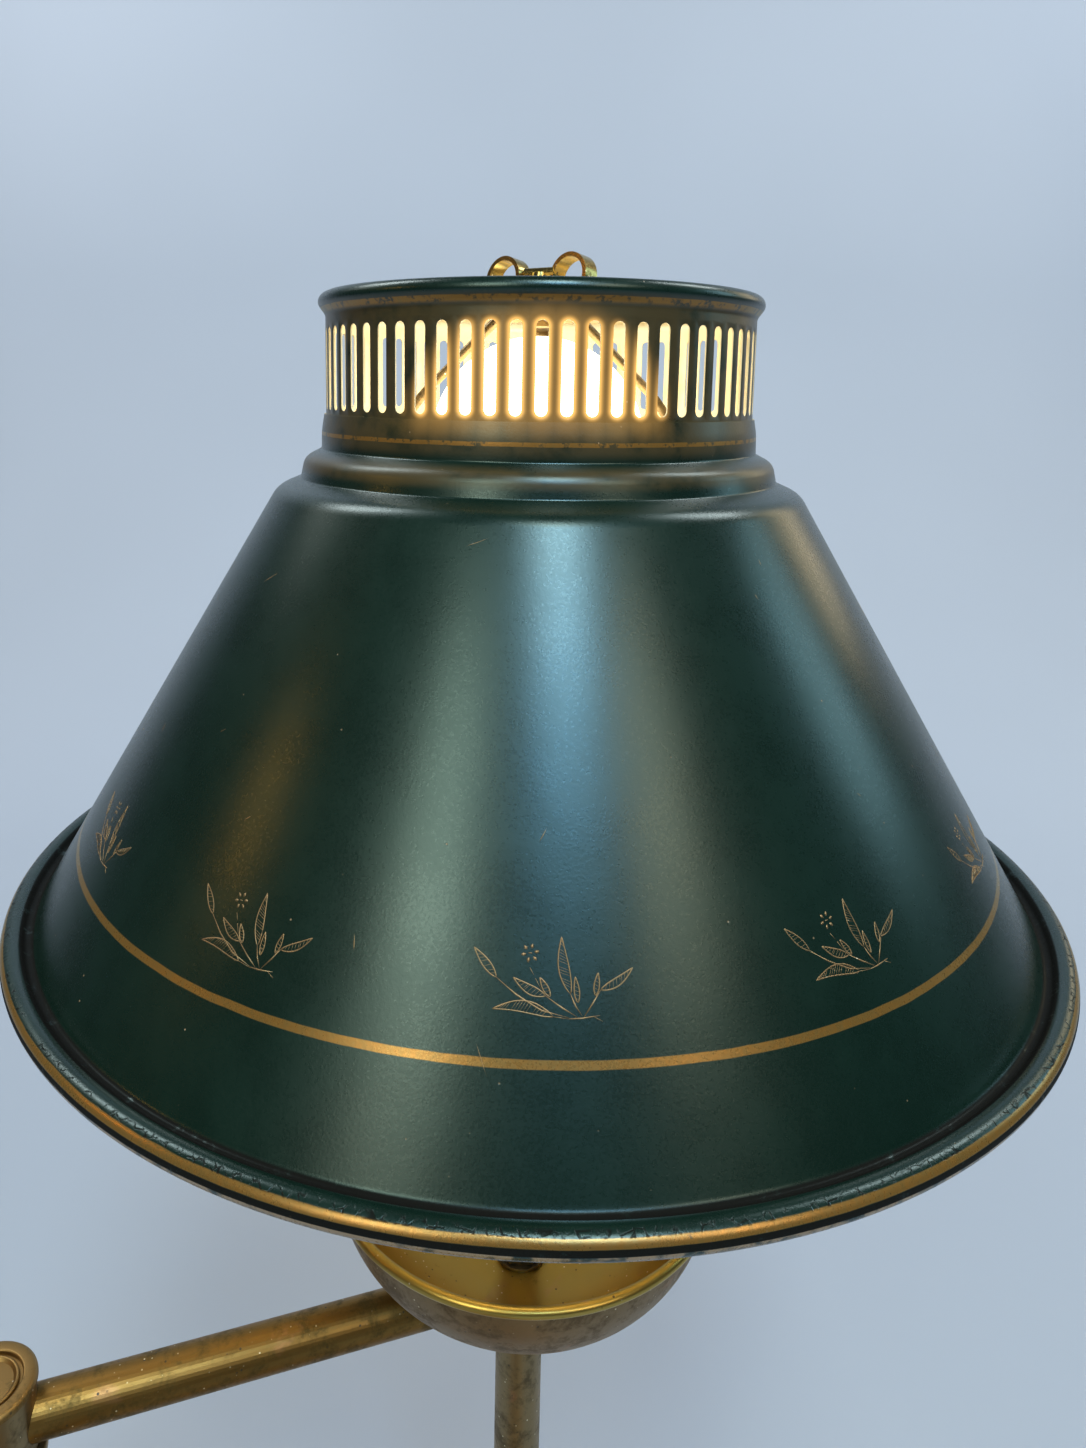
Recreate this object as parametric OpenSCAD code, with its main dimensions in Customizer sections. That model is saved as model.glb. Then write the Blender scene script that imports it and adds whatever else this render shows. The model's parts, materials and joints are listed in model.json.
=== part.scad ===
// Bouillotte lamp on a double swing arm: a weighted brass base and column, two
// brass arms that swing one above the other, and a head with a candle cup, a
// riser tube, a harp and a painted metal shade with a pierced gallery.
// Millimetres, +Z up. The origin is the centre of the base, on the table.

/* [Base] */
// Diameter of the base
base_d = 240; // [210:5:280]
// Height of the upright edge of the base
base_edge_h = 16; // [15:1:22]
// Height from the felt to the foot of the column
base_rise = 34; // [30:1:44]
// Wall of the spun base shell
base_wall = 1.5; // [1.2:0.1:2]
// Thickness of the cast weight
weight_t = 14; // [13:0.5:15]
// Thickness of the felt pad
felt_t = 2.5; // [2:0.5:4]

/* [Column] */
// Outside diameter of the column tube
column_d = 25.4; // [24:0.2:28]
// Wall of the column tube
column_wall = 1.2; // [1:0.1:1.6]
// Length of the column tube
column_h = 214; // [180:1:260]
// Height of the turned seat on top of the column
seat_h = 22; // [20:1:30]

/* [Swing arms] */
// Reach of the lower arm, from the column axis to the elbow axis
lower_reach = 192; // [165:1:220]
// Reach of the upper arm, from the elbow axis to the lamp axis
upper_reach = 192; // [175:1:220]
// Direction of the lower arm, counted from +X
lower_turn = 140; // [120:1:160]
// Direction of the upper arm, counted from +X
upper_turn = 21.3; // [0:0.1:60]
// Outside diameter of the arm tubes
arm_d = 16.8; // [15:0.1:17.4]
// Wall of the arm tubes
arm_wall = 1.2; // [1:0.1:1.6]

/* [Knuckles] */
// Diameter of the knuckle barrels
barrel_d = 31; // [30:0.5:34]
// Height of a knuckle barrel, without its cap
barrel_h = 23.8; // [21:0.1:25]
// Metal below the arm tube in a knuckle
barrel_floor = 1.1; // [0.8:0.1:2]
// Diameter of the knuckle caps
cap_d = 32.4; // [31.5:0.1:36]
// Height of the knuckle caps
cap_h = 2.7; // [2.6:0.1:5]
// Diameter of the flange that a knuckle turns on
flange_d = 36; // [34:0.5:42]
// Thickness of that flange
flange_t = 3.5; // [2.5:0.5:5]
// Free height between the column cap and the upper arm passing over it
arm_pass = 1.5; // [1:0.5:4]
// Thickness of the thrust washers
washer_t = 1; // [0.6:0.1:1.6]

/* [Pipe and nuts] */
// Outside diameter of the threaded pipe
pipe_d = 10.2; // [9.8:0.1:10.6]
// Bore of the threaded pipe
pipe_bore = 6.6; // [6:0.1:7]
// Width across the flats of the lock nuts
nut_flats = 16; // [14:0.5:17]
// Thickness of the lock nuts
nut_t = 3.5; // [3:0.5:4.5]

/* [Head] */
// Diameter of the hub at the end of the upper arm
hub_d = 26; // [24:0.5:30]
// Metal of the hub above the axis of the upper arm
hub_up = 10.5; // [10:0.5:18]
// Metal of the hub below the axis of the upper arm
hub_down = 17.5; // [14:0.5:24]
// Outside diameter of the drop stem
stem_d = 18.4; // [17:0.2:20]
// Length of the drop stem
stem_h = 75; // [40:1:90]
// Diameter of the candle cup over its lip
cup_d = 150; // [120:2:170]
// Depth of the candle cup
cup_depth = 50; // [34:1:56]
// Wall of the candle cup
cup_wall = 0.9; // [0.8:0.1:1.4]
// Diameter of the riser tube
riser_d = 15; // [14.5:0.5:18]
// Length of the riser tube
riser_h = 160; // [140:1:180]

/* [Switch] */
// Diameter of the switch housing
switch_d = 29; // [28:0.5:34]
// Height of the switch housing
switch_h = 28; // [26:1:36]
// Diameter of the switch knob
knob_d = 19; // [16:0.5:24]
// Height of the switch knob
knob_h = 13; // [10:1:18]

/* [Harp and bulb] */
// Height of the shade's seat on the harp, above the top of the bulb
harp_over = 9; // [9:0.5:40]
// Width of the harp, between its wire centres
harp_w = 100; // [96:1:112]
// Distance between the two legs of the harp at the saddle
saddle_w = 40; // [38:1:46]
// Diameter of the harp wire
harp_wire = 3.2; // [2.8:0.1:4]
// Diameter of the bulb
bulb_d = 74; // [70:1:80]
// Height from the saddle to the top of the bulb
bulb_top_h = 190; // [182:1:215]
// Outside diameter of the socket cap
socket_d = 34; // [33.5:0.1:36]

/* [Shade] */
// Diameter of the shade over its rolled rim
shade_d = 356; // [320:2:400]
// Height of the shade
shade_h = 205; // [190:1:240]
// Thickness of the sheet of the shade
sheet_t = 0.6; // [0.5:0.1:1]
// Diameter of the gallery wall
gallery_d = 145; // [136:1:156]
// Height of the turned bead along the top of the gallery
bead_h = 8; // [6:0.5:12]
// How far that bead stands out of the wall
bead_out = 2.4; // [1.8:0.1:3.4]
// Number of slots in the gallery
slot_count = 63; // [48:1:66]
// Width of a slot
slot_w = 3.5; // [2.5:0.1:4]
// Length of a slot
slot_len = 26.4; // [20:0.2:30]
// Plain wall above and below the slots
slot_margin = 3.7; // [2.5:0.1:5]
// Radius of the rolled rim
rim_r = 3.6; // [2.8:0.1:4.5]

/* [Spider and finial] */
// Number of spokes that carry the shade
spoke_count = 3; // [3:1:4]
// Width of a spoke
spoke_w = 8; // [6:0.5:10]
// Diameter of the stud that the finial screws on
stud_d = 6.2; // [5.8:0.1:6.4]
// Outside diameter of the finial rings
ring_d = 15.6; // [12:0.2:17]
// Distance between the centres of the finial rings
ring_gap = 25.5; // [22:0.5:28]

/* [Hidden] */
$fn = 96;

brass = "goldenrod";
dark_brass = "darkgoldenrod";
steel = "silver";
tole = "darkslategray";
black = "dimgray";
felt = "darkolivegreen";

// Clearance of pieces that are screwed, pressed or soldered together
fit = 0.05;
// Radial clearance of a pivot in its bore, and of a shaft in its bearing
run = 0.05;
// Free height under a piece that turns
lift = 0.1;
// How far a cutter runs past the face it cuts
past = 1;
// Steps of a turned curve
curve_steps = 8;

// Base
base_r = base_d / 2;
shell_z = felt_t;
edge_z = shell_z + base_edge_h;
column_z = shell_z + base_rise;
neck_r = column_d / 2 + 9;
edge_round = 4;
base_step = 8;
weight_r = base_r - base_wall - 6.5;
boss_r = 14;
pocket_r = nut_flats / 2 + 5;
base_nut_z = felt_t + 2.5;
base_washer_t = 1.5;
pocket_z = base_nut_z + nut_t + base_washer_t;
collar_h = 14;
outlet_z = felt_t + base_edge_h / 2;
outlet_turn = -90;
bushing_bore_r = 3.5;
bushing_r = 5;
bushing_flange_r = 6;
bushing_flange_t = 2;
bushing_lip = 0.5;
bushing_lip_t = 2;
channel_w = 8;

// Pipes and nuts
pipe_r = pipe_d / 2;
lead_r = 1.25;
lead_gap = 0.1;
spring_washer_t = 1;
spring_washer_r = nut_flats / 2 + 1;

// Knuckles: heights above the underside of a barrel
arm_r = arm_d / 2;
barrel_r = barrel_d / 2;
arm_up = barrel_floor + arm_r;
nut_room_z = arm_up + 2;
nut_room_r = spring_washer_r + 1.5;
socket_depth_r = nut_room_r + 1;
wire_hole_r = 2.6;
wire_hole_up = nut_room_z + wire_hole_r;
pivot_top_up = nut_room_z + lift + spring_washer_t + nut_t + 1.4;
cap_spigot_h = 2.5;
cap_band_r = cap_d / 2 - 4.8;
cap_disc_r = cap_band_r - 1;
cap_groove = 1.6;

// Heights of the two arms
seat_z = column_z + column_h;
lower_z = seat_z + seat_h + washer_t;
upper_z = lower_z + barrel_h + cap_h + arm_pass - barrel_floor;
lower_arm_z = lower_z + arm_up;
upper_arm_z = upper_z + arm_up;
elbow_lower_h = upper_z - washer_t - lower_z;
cap_nut_r = 9;
cap_nut_h = 14;
cap_nut_bore = 8;

// Places of the elbow and of the lamp axis
elbow = lower_reach * [cos(lower_turn), sin(lower_turn)];
lamp = elbow + upper_reach * [cos(upper_turn), sin(upper_turn)];

// Head
hub_r = hub_d / 2;
hub_socket_r = pipe_r + 3.9;
hub_z = upper_arm_z - hub_down;
cup_z = upper_arm_z + hub_up;
hub_spigot_h = 4;
stem_r = stem_d / 2;
stem_wall = 1.2;
stem_z = hub_z - stem_h;
cup_r = cup_d / 2;
lip_r = 1.9;
cup_washer_t = 1.5;
riser_r = riser_d / 2;
riser_wall = 1;
cup_washer_r = nut_flats / 2 + 2;
cup_foot_r = max(cup_washer_r, hub_r) + 1;
cup_nut_z = cup_z + cup_wall + cup_washer_t;
riser_z = cup_nut_z + nut_t;
riser_washer_t = 1.5;
saddle_z = riser_z + riser_h + riser_washer_t;
saddle_t = 1.6;
saddle_half = 4.5;
saddle_hub_r = 9;
socket_z = saddle_z + saddle_t;

// Switch
switch_r = switch_d / 2;
switch_wall = 1.2;
switch_z = stem_z - switch_h;
plate_t = 2;
plate_z = switch_z + 1;
switch_body_h = switch_h - 16;
switch_neck_r = 4.5;
switch_neck_h = 3;
shaft_r = 2.5;
shaft_room = 6;
knob_gap = 0.3;
knob_dome_h = 4;
flute_count = 20;
flute_r = 0.9;

// Harp: its top slopes past the bulb with a small gap
wire_r = harp_wire / 2;
bulb_r = bulb_d / 2;
bulb_top_z = saddle_z + bulb_top_h;
bulb_mid_z = bulb_top_z - bulb_r;
bulb_gap = 1.5;
post_h = 6;
sleeve_h = 13;
sleeve_wall = 1;
harp_foot_z = socket_z + post_h;
harp_top_z = bulb_top_z + harp_over;
leg_x = saddle_w / 2;
bow_x = harp_w / 2;
leg_bend_r = 25;
leg_rise = 7;
bow_bend_r = 42;
boss_top_r = 5.5;
boss_top_h = 6;
wire_top_z = harp_top_z - boss_top_h / 2;
top_bend_r = 6;
top_flat = max(boss_top_r + 1, bulb_mid_z + sqrt(2) * (bulb_r + wire_r + bulb_gap)
    - wire_top_z - top_bend_r * (sqrt(2) - 1));

// Socket and bulb
socket_r = socket_d / 2;
socket_wall = 0.8;
socket_cap_h = 21;
shell_wall = 0.6;
shell_r = socket_r - socket_wall - fit;
shell_lap = 6;
shell_h = 46;
liner_r = shell_r - shell_wall - fit;
liner_wall = 0.8;
insulator_r = liner_r - liner_wall - fit;
insulator_h = 14;
screw_r = 13.8;
screw_wall = 0.4;
screw_h = 27;
thread_r = screw_r - screw_wall - 0.15;
shell_low_z = socket_z + socket_cap_h - shell_lap;
insulator_z = shell_low_z + 1.5;
screw_z = insulator_z + insulator_h;
contact_h = 2;
bulb_base_z = screw_z + contact_h + lift;
bulb_base_h = 25;
thread_pitch = 3.6;
thread_depth = 0.7;
tip_h = 2.5;
bulb_wall = 0.8;
bulb_neck_r = 15;
bulb_foot_r = 12.6;
bulb_shoulder = 35;
filament_z = bulb_mid_z - bulb_r * 0.32;
filament_r = bulb_r * 0.31;
mount_drop = bulb_r * 0.81;
mount_stem_r = 3.5;
mount_wire_h = mount_drop + 3;
mount_lean = asin((filament_r + 0.5 - mount_stem_r / 2) / mount_wire_h);

// Shade: heights are counted down from the top edge
spider_t = 1.5;
spider_hub_r = 11;
spoke_drop = 4;
spoke_tab_h = 5;
seat_drop = 2.1;
shade_top_z = harp_top_z + spider_t + seat_drop;
gallery_r = gallery_d / 2;
slot_top_z = shade_top_z - bead_h - slot_margin;
slot_low_z = slot_top_z - slot_len;
seam_z = slot_low_z - slot_margin + 2.2;
gallery_lap = 9;
rim_z = shade_top_z - shade_h + rim_r;
rim_x = shade_d / 2 - rim_r;
groove_r = 1.8;
groove_turn = 150;
rim_end = -160;
hem_r = 1;
hem_in = 0.8;
// Share of the top bead's height that lies below its widest line
bead_swell = 0.62;
// Each corner of the neck between the gallery and the cone: its reach out from the
// one before it, its drop, and how far its rounding starts from it
neck_corners = [[0.9, 5.4, 2.2], [0.1, 6.1, 0.5], [5.7, 3.05, 2.4], [1.4, 6.5, 0.5], [7.9, 3.4, 3.2]];

// Finial
stud_r = stud_d / 2;
stud_h = 7;
finial_z = harp_top_z + spider_t;
finial_hub_r = 5;
finial_hub_h = 8;
finial_turn = -30;
bar_r = 1.7;
bar_up = 10.7;
ring_wall = 1.5;
ring_w = 6;
ring_turn = -12;
ring_tilt = 8;
ring_drop = 2;
ring_mid_r = (ring_d - ring_wall) / 2;
bar_half = ring_gap / 2 - sqrt(ring_mid_r * ring_mid_r - ring_drop * ring_drop) / cos(ring_turn);

// Points of an arc about a centre, from one angle to another
function arc(c, r, from, to, steps = curve_steps) =
    [for (i = [0:steps]) let (a = from + (to - from) * i / steps) c + r * [cos(a), sin(a)]];

// A quarter turn between two points that starts level and ends upright: a roll
function roll(p, q, steps = curve_steps) =
    [for (i = [0:steps]) let (a = 90 * i / steps)
        [p.x + (q.x - p.x) * sin(a), q.y + (p.y - q.y) * cos(a)]];

// A quarter turn between two points that starts upright and ends level: a cove
function cove(p, q, steps = curve_steps) =
    [for (i = [0:steps]) let (a = 90 * i / steps)
        [q.x + (p.x - q.x) * cos(a), p.y + (q.y - p.y) * sin(a)]];

function reverse(pts) = [for (i = [len(pts) - 1:-1:0]) pts[i]];

// Drops a point that repeats the one before it
function tidy(pts) = [for (i = [0:len(pts) - 1]) if (i == 0 || norm(pts[i] - pts[i - 1]) > 0.01) pts[i]];

// Unit normal to the left of the way from a to b
function side(a, b) = let (d = (b - a) / norm(b - a)) [-d.y, d.x];

// Offset of point i to the left of the line, square to both its neighbours
function corner(pts, i, t) =
    let (last = len(pts) - 1,
         n1 = i > 0 ? side(pts[i - 1], pts[i]) : side(pts[0], pts[1]),
         n2 = i < last ? side(pts[i], pts[i + 1]) : side(pts[last - 1], pts[last]))
    pts[i] + t * (n1 + n2) / (1 + n1 * n2);

// Rounds corner c between its neighbours a and b, starting back from it on both sides
function rounded(a, c, b, back, steps = curve_steps) =
    let (p = c + back * (a - c) / norm(a - c), q = c + back * (b - c) / norm(b - c))
    [for (i = [0:steps]) let (t = i / steps) (1 - t) * (1 - t) * p + 2 * t * (1 - t) * c + t * t * q];

// Closed outline of a sheet of thickness t laid to the left of a line
function sheet(line, t) =
    let (pts = tidy(line))
    concat(pts, reverse([for (i = [0:len(pts) - 1]) corner(pts, i, t)]));

// Turned sheet metal
module spun(line, t) rotate_extrude() polygon(sheet(line, t));

// Round bar or disc with a hole
module ring(r, hole, h) difference() {
    cylinder(r = r, h = h);
    translate([0, 0, -past]) cylinder(r = hole, h = h + 2 * past);
}

module tube(r, wall, h) ring(r, r - wall, h);

module at_elbow() translate([elbow.x, elbow.y, 0]) children();
module at_lamp() translate([lamp.x, lamp.y, 0]) children();
module along_lower() rotate([0, 0, lower_turn]) children();
module along_upper() at_elbow() rotate([0, 0, upper_turn]) children();

// Hexagonal lock nut on the threaded pipe
module lock_nut(h = nut_t) difference() {
    cylinder(d = nut_flats / cos(30), h = h, $fn = 6);
    translate([0, 0, -past]) cylinder(r = pipe_r + fit, h = h + 2 * past);
}

// Two insulated wires side by side, along +X
module twin_lead(length) for (s = [-1, 1])
    translate([0, s * (lead_r + fit / 2), 0]) rotate([0, 90, 0]) cylinder(r = lead_r, h = length);

// Straight run of the twin lead on the floor of an arm tube
module arm_lead(z, from, to)
    translate([from, 0, z - arm_r + arm_wall + lead_r + lead_gap + lead_sag()]) twin_lead(to - from);

// The pair rests a little above the lowest line of the round bore
function lead_sag() =
    let (bore = arm_r - arm_wall, off = lead_r + fit / 2)
    (bore - lead_r) - sqrt(pow(bore - lead_r, 2) - pow(off, 2));

// ---- base and column ----

module felt_pad() color(felt) cylinder(r = base_r - 2, h = felt_t);

module base_weight() color(black) difference() {
    union() {
        translate([0, 0, felt_t]) cylinder(r = weight_r, h = weight_t);
        translate([0, 0, felt_t]) cylinder(r = boss_r, h = base_rise - base_wall);
    }
    cylinder(r = pipe_r + fit, h = column_z + past);
    translate([0, 0, felt_t - past]) cylinder(r = pocket_r, h = pocket_z - felt_t + past);
    rotate([0, 0, outlet_turn]) translate([0, -channel_w / 2, felt_t - past])
        cube([base_r, channel_w, outlet_z - felt_t + bushing_bore_r + past]);
}

// Outline of the base, from its foot up and in to the hole for the pipe
function base_profile() =
    let (shoulder = [base_r - edge_round, edge_z],
         step = [shoulder.x - base_step, edge_z + 1],
         waist = [neck_r + 18, column_z - 6],
         neck = [neck_r, column_z])
    concat(
        [[base_r, shell_z]],
        arc([base_r - edge_round, edge_z - edge_round], edge_round, 0, 90),
        roll(step, waist),
        cove(waist, neck),
        [[pipe_r + fit, column_z]]);

module base_shell() color(brass) difference() {
    spun(base_profile(), base_wall);
    rotate([0, 0, outlet_turn]) translate([base_r - 8, 0, outlet_z]) rotate([0, 90, 0])
        cylinder(r = bushing_r + fit, h = 16);
}

module base_collar() color(dark_brass) translate([0, 0, column_z]) rotate_extrude() polygon(concat(
    [[column_d / 2 + fit, 0], [neck_r - 2, 0]],
    arc([neck_r - 2, 2], 2, -90, 90),
    cove([neck_r - 2.5, 4], [column_d / 2 + 2, collar_h - 3]),
    arc([column_d / 2 + 1.5, collar_h - 1.5], 1.5, -90, 90),
    [[column_d / 2 + fit, collar_h]]));

module base_nut() color(steel) translate([0, 0, base_nut_z]) lock_nut();

module base_washer() color(steel) translate([0, 0, base_nut_z + nut_t])
    ring(pocket_r - 0.5, pipe_r + fit, base_washer_t);

module cord_bushing() color(black) rotate([0, 0, outlet_turn]) translate([base_r, 0, outlet_z])
    rotate([0, 90, 0]) difference() {
        union() {
            translate([0, 0, -base_wall - bushing_lip_t])
                cylinder(r = bushing_r, h = base_wall + bushing_lip_t + 0.1);
            translate([0, 0, -base_wall - bushing_lip_t - 0.4])
                cylinder(r = bushing_r + bushing_lip, h = bushing_lip_t);
            translate([0, 0, 0.05]) cylinder(r = bushing_flange_r, h = bushing_flange_t);
        }
        translate([0, 0, -10]) cylinder(r = bushing_bore_r, h = 20);
    }

module column_tube() color(brass) translate([0, 0, column_z])
    tube(column_d / 2, column_wall, column_h);

module column_pipe() color(steel) translate([0, 0, base_nut_z])
    ring(pipe_r, pipe_bore / 2, lower_z + pivot_top_up - base_nut_z);

// The pair of wires, upright against one side of the bore
module column_lead() color(black)
    translate([pipe_bore / 2 - 2 * lead_r - lead_gap, 0, base_nut_z + 1])
        for (s = [-1, 1]) translate([s * (lead_r + fit / 2), 0, 0])
            cylinder(r = lead_r, h = lower_z + nut_room_z - base_nut_z);

module column_seat() color(dark_brass) translate([0, 0, seat_z]) rotate_extrude() polygon(concat(
    [[pipe_r + fit, -8], [column_d / 2 - column_wall - fit, -8], [column_d / 2 - column_wall - fit, 0],
     [column_d / 2 + 1, 0]],
    arc([column_d / 2 + 1, 1.5], 1.5, -90, 90),
    cove([column_d / 2, 4], [flange_d / 2 - 4, seat_h - flange_t - 2]),
    [[flange_d / 2 - 1, seat_h - flange_t]],
    arc([flange_d / 2 - 1, seat_h - flange_t + 1], 1, -90, 0),
    arc([flange_d / 2 - 0.8, seat_h - 0.8], 0.8, 0, 90),
    [[pipe_r + fit, seat_h]]));

// ---- knuckles ----

module thrust_washer() ring(barrel_r - 1.5, pipe_r + fit, washer_t - lift);

module spring_washer() translate([0, 0, nut_room_z + lift])
    ring(spring_washer_r, pipe_r + fit, spring_washer_t);

module knuckle_nut() translate([0, 0, nut_room_z + lift + spring_washer_t]) lock_nut();

// Barrel that turns on a hollow pivot, with the arm let in along +X
module turning_barrel() difference() {
    cylinder(r = barrel_r, h = barrel_h);
    translate([0, 0, -past]) cylinder(r = pipe_r + run, h = barrel_h);
    translate([0, 0, nut_room_z]) cylinder(r = nut_room_r, h = barrel_h);
    translate([socket_depth_r, 0, arm_up]) rotate([0, 90, 0]) cylinder(r = arm_r + fit, h = barrel_r);
    translate([nut_room_r - past, 0, wire_hole_up]) rotate([0, 90, 0])
        cylinder(r = wire_hole_r, h = socket_depth_r - nut_room_r + 2 * past);
}

// Cap pressed into the barrel: a rounded band, a groove and a disc with a raised edge
module knuckle_cap() rotate_extrude() polygon(concat(
    [[0, -cap_spigot_h], [nut_room_r - fit, -cap_spigot_h], [nut_room_r - fit, 0], [cap_d / 2 - 0.4, 0]],
    arc([cap_d / 2 - 0.4, 0.4], 0.4, -90, 0),
    arc([cap_d / 2 - 2.1, cap_h - 2.1], 2.1, 0, 80),
    arc([cap_band_r + 0.6, cap_h - 0.6], 0.6, 90, 180),
    [[cap_band_r, cap_h - cap_groove], [cap_disc_r, cap_h - cap_groove]],
    arc([cap_disc_r - 0.7, cap_h - 1.1], 0.7, 0, 150),
    [[cap_disc_r - 2, cap_h - 1.4], [0, cap_h - 1]]));

module column_thrust_washer() color(steel) translate([0, 0, seat_z + seat_h]) thrust_washer();
module column_spring_washer() color(steel) translate([0, 0, lower_z]) spring_washer();
module column_lock_nut() color(steel) translate([0, 0, lower_z]) knuckle_nut();
module column_barrel() color(dark_brass) translate([0, 0, lower_z]) along_lower() turning_barrel();
module column_cap() color(brass) translate([0, 0, lower_z + barrel_h]) knuckle_cap();

module lower_arm_tube() color(brass) along_lower()
    translate([socket_depth_r + fit, 0, lower_arm_z]) rotate([0, 90, 0])
        tube(arm_r, arm_wall, lower_reach - 2 * (socket_depth_r + fit));

module lower_arm_lead() color(black) along_lower()
    arm_lead(lower_arm_z, socket_depth_r + 2, lower_reach - socket_depth_r - 2);

// Barrel fixed on the elbow pivot, with the lower arm let in along -X
module elbow_lower_barrel() color(dark_brass) at_elbow() translate([0, 0, lower_z]) along_lower() difference() {
    union() {
        cylinder(r = barrel_r, h = elbow_lower_h);
        translate([0, 0, elbow_lower_h]) rotate_extrude() polygon(concat(
            [[0, -flange_t], [flange_d / 2 - 1, -flange_t]],
            arc([flange_d / 2 - 1, 1 - flange_t], 1, -90, 0),
            arc([flange_d / 2 - 0.8, -0.8], 0.8, 0, 90),
            [[0, 0]]));
    }
    translate([0, 0, -past]) cylinder(r = pipe_r + fit, h = elbow_lower_h + 2 * past);
    translate([-barrel_r - past, 0, arm_up]) rotate([0, 90, 0])
        cylinder(r = arm_r + fit, h = barrel_r + past - socket_depth_r);
    translate([-socket_depth_r - past, 0, arm_up]) rotate([0, 90, 0])
        cylinder(r = wire_hole_r, h = socket_depth_r);
}

// Turned nut that closes the elbow from below
module elbow_cap_nut() color(brass) at_elbow() translate([0, 0, lower_z]) difference() {
    rotate_extrude() polygon(concat(
        [[0, 0], [cap_nut_r - 1, 0]],
        arc([cap_nut_r - 1, -1], 1, 90, -90),
        arc([0, -cap_nut_h + 6.5], 6.5, 33, -90)));
    translate([0, 0, -cap_nut_bore]) cylinder(r = pipe_r + fit, h = cap_nut_bore + past);
}

module elbow_pivot() color(steel) at_elbow() along_lower() difference() {
    translate([0, 0, lower_z - cap_nut_bore + 1])
        ring(pipe_r, pipe_bore / 2, upper_z + pivot_top_up - lower_z + cap_nut_bore - 1);
    translate([-pipe_r - past, 0, lower_arm_z]) rotate([0, 90, 0])
        cylinder(r = wire_hole_r, h = pipe_r + past);
}

module elbow_thrust_washer() color(steel) at_elbow() translate([0, 0, upper_z - washer_t]) thrust_washer();
module elbow_spring_washer() color(steel) at_elbow() translate([0, 0, upper_z]) spring_washer();
module elbow_lock_nut() color(steel) at_elbow() translate([0, 0, upper_z]) knuckle_nut();
module elbow_upper_barrel() color(dark_brass) translate([0, 0, upper_z]) along_upper() turning_barrel();
module elbow_cap() color(brass) at_elbow() translate([0, 0, upper_z + barrel_h]) knuckle_cap();

module upper_arm_tube() color(brass) along_upper()
    translate([socket_depth_r + fit, 0, upper_arm_z]) rotate([0, 90, 0])
        tube(arm_r, arm_wall, upper_reach - socket_depth_r - hub_socket_r - 2 * fit);

module upper_arm_lead() color(black) along_upper()
    arm_lead(upper_arm_z, socket_depth_r + 2, upper_reach - hub_socket_r - 2);

// ---- head ----

module head_hub() color(dark_brass) at_lamp() rotate([0, 0, upper_turn]) difference() {
    union() {
        translate([0, 0, hub_z]) rotate_extrude() polygon(concat(
            [[0, 0], [hub_r - 1.2, 0]],
            arc([hub_r - 1.2, 1.2], 1.2, -90, 0),
            arc([hub_r - 1.2, hub_down + hub_up - 1.2], 1.2, 0, 90),
            [[0, hub_down + hub_up]]));
        translate([0, 0, hub_z - hub_spigot_h]) cylinder(r = stem_r - stem_wall - fit, h = hub_spigot_h + 1);
    }
    translate([0, 0, hub_z - hub_spigot_h - past])
        cylinder(r = pipe_r + fit, h = hub_down + hub_up + hub_spigot_h + 2 * past);
    translate([-hub_r - past, 0, upper_arm_z]) rotate([0, 90, 0])
        cylinder(r = arm_r + fit, h = hub_r + past - hub_socket_r);
    translate([-hub_socket_r - past, 0, upper_arm_z]) rotate([0, 90, 0])
        cylinder(r = wire_hole_r, h = hub_socket_r);
}

module lamp_pipe() color(steel) at_lamp() rotate([0, 0, upper_turn]) difference() {
    translate([0, 0, stem_z - switch_wall - nut_t])
        ring(pipe_r, pipe_bore / 2, socket_z + 7 - stem_z + switch_wall + nut_t);
    translate([-pipe_r - past, 0, upper_arm_z]) rotate([0, 90, 0])
        cylinder(r = wire_hole_r, h = pipe_r + past);
}

module stem_tube() color(brass) at_lamp() translate([0, 0, stem_z]) tube(stem_r, stem_wall, stem_h);

module stem_nut() color(steel) at_lamp() translate([0, 0, stem_z - switch_wall - nut_t]) lock_nut();

module switch_housing() color(dark_brass) at_lamp() translate([0, 0, switch_z]) spun(concat(
    [[switch_r, 0]],
    arc([switch_r - 5, switch_h - 5], 5, 0, 90),
    [[pipe_r + fit, switch_h]]), switch_wall);

module switch_plate() color(brass) at_lamp() translate([0, 0, plate_z])
    ring(switch_r - switch_wall - fit, switch_neck_r + fit, plate_t);

module switch_body() color(black) at_lamp() difference() {
    union() {
        translate([0, 0, plate_z + plate_t]) cylinder(r = switch_r - switch_wall - 1.5, h = switch_body_h);
        translate([0, 0, plate_z + plate_t - switch_neck_h]) cylinder(r = switch_neck_r, h = switch_neck_h + 1);
    }
    translate([0, 0, plate_z + plate_t - switch_neck_h - past])
        cylinder(r = shaft_r + run, h = switch_neck_h + shaft_room + past);
}

// Fluted knob with a domed end, on its shaft
module switch_knob() color(brass) at_lamp() translate([0, 0, plate_z + plate_t - switch_neck_h - knob_gap]) {
    translate([0, 0, -knob_h + knob_dome_h]) linear_extrude(knob_h - knob_dome_h) difference() {
        circle(r = knob_d / 2);
        for (i = [0:flute_count - 1]) rotate(360 * i / flute_count)
            translate([knob_d / 2 + 0.3, 0]) circle(r = flute_r);
    }
    translate([0, 0, -knob_h]) rotate_extrude() polygon(concat(
        [[0, 0]],
        arc([knob_d / 2 - knob_dome_h - 0.8, knob_dome_h], knob_dome_h, -90, 0),
        [[0, knob_dome_h]]));
    cylinder(r = shaft_r, h = switch_neck_h + shaft_room - 0.6);
}

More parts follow.
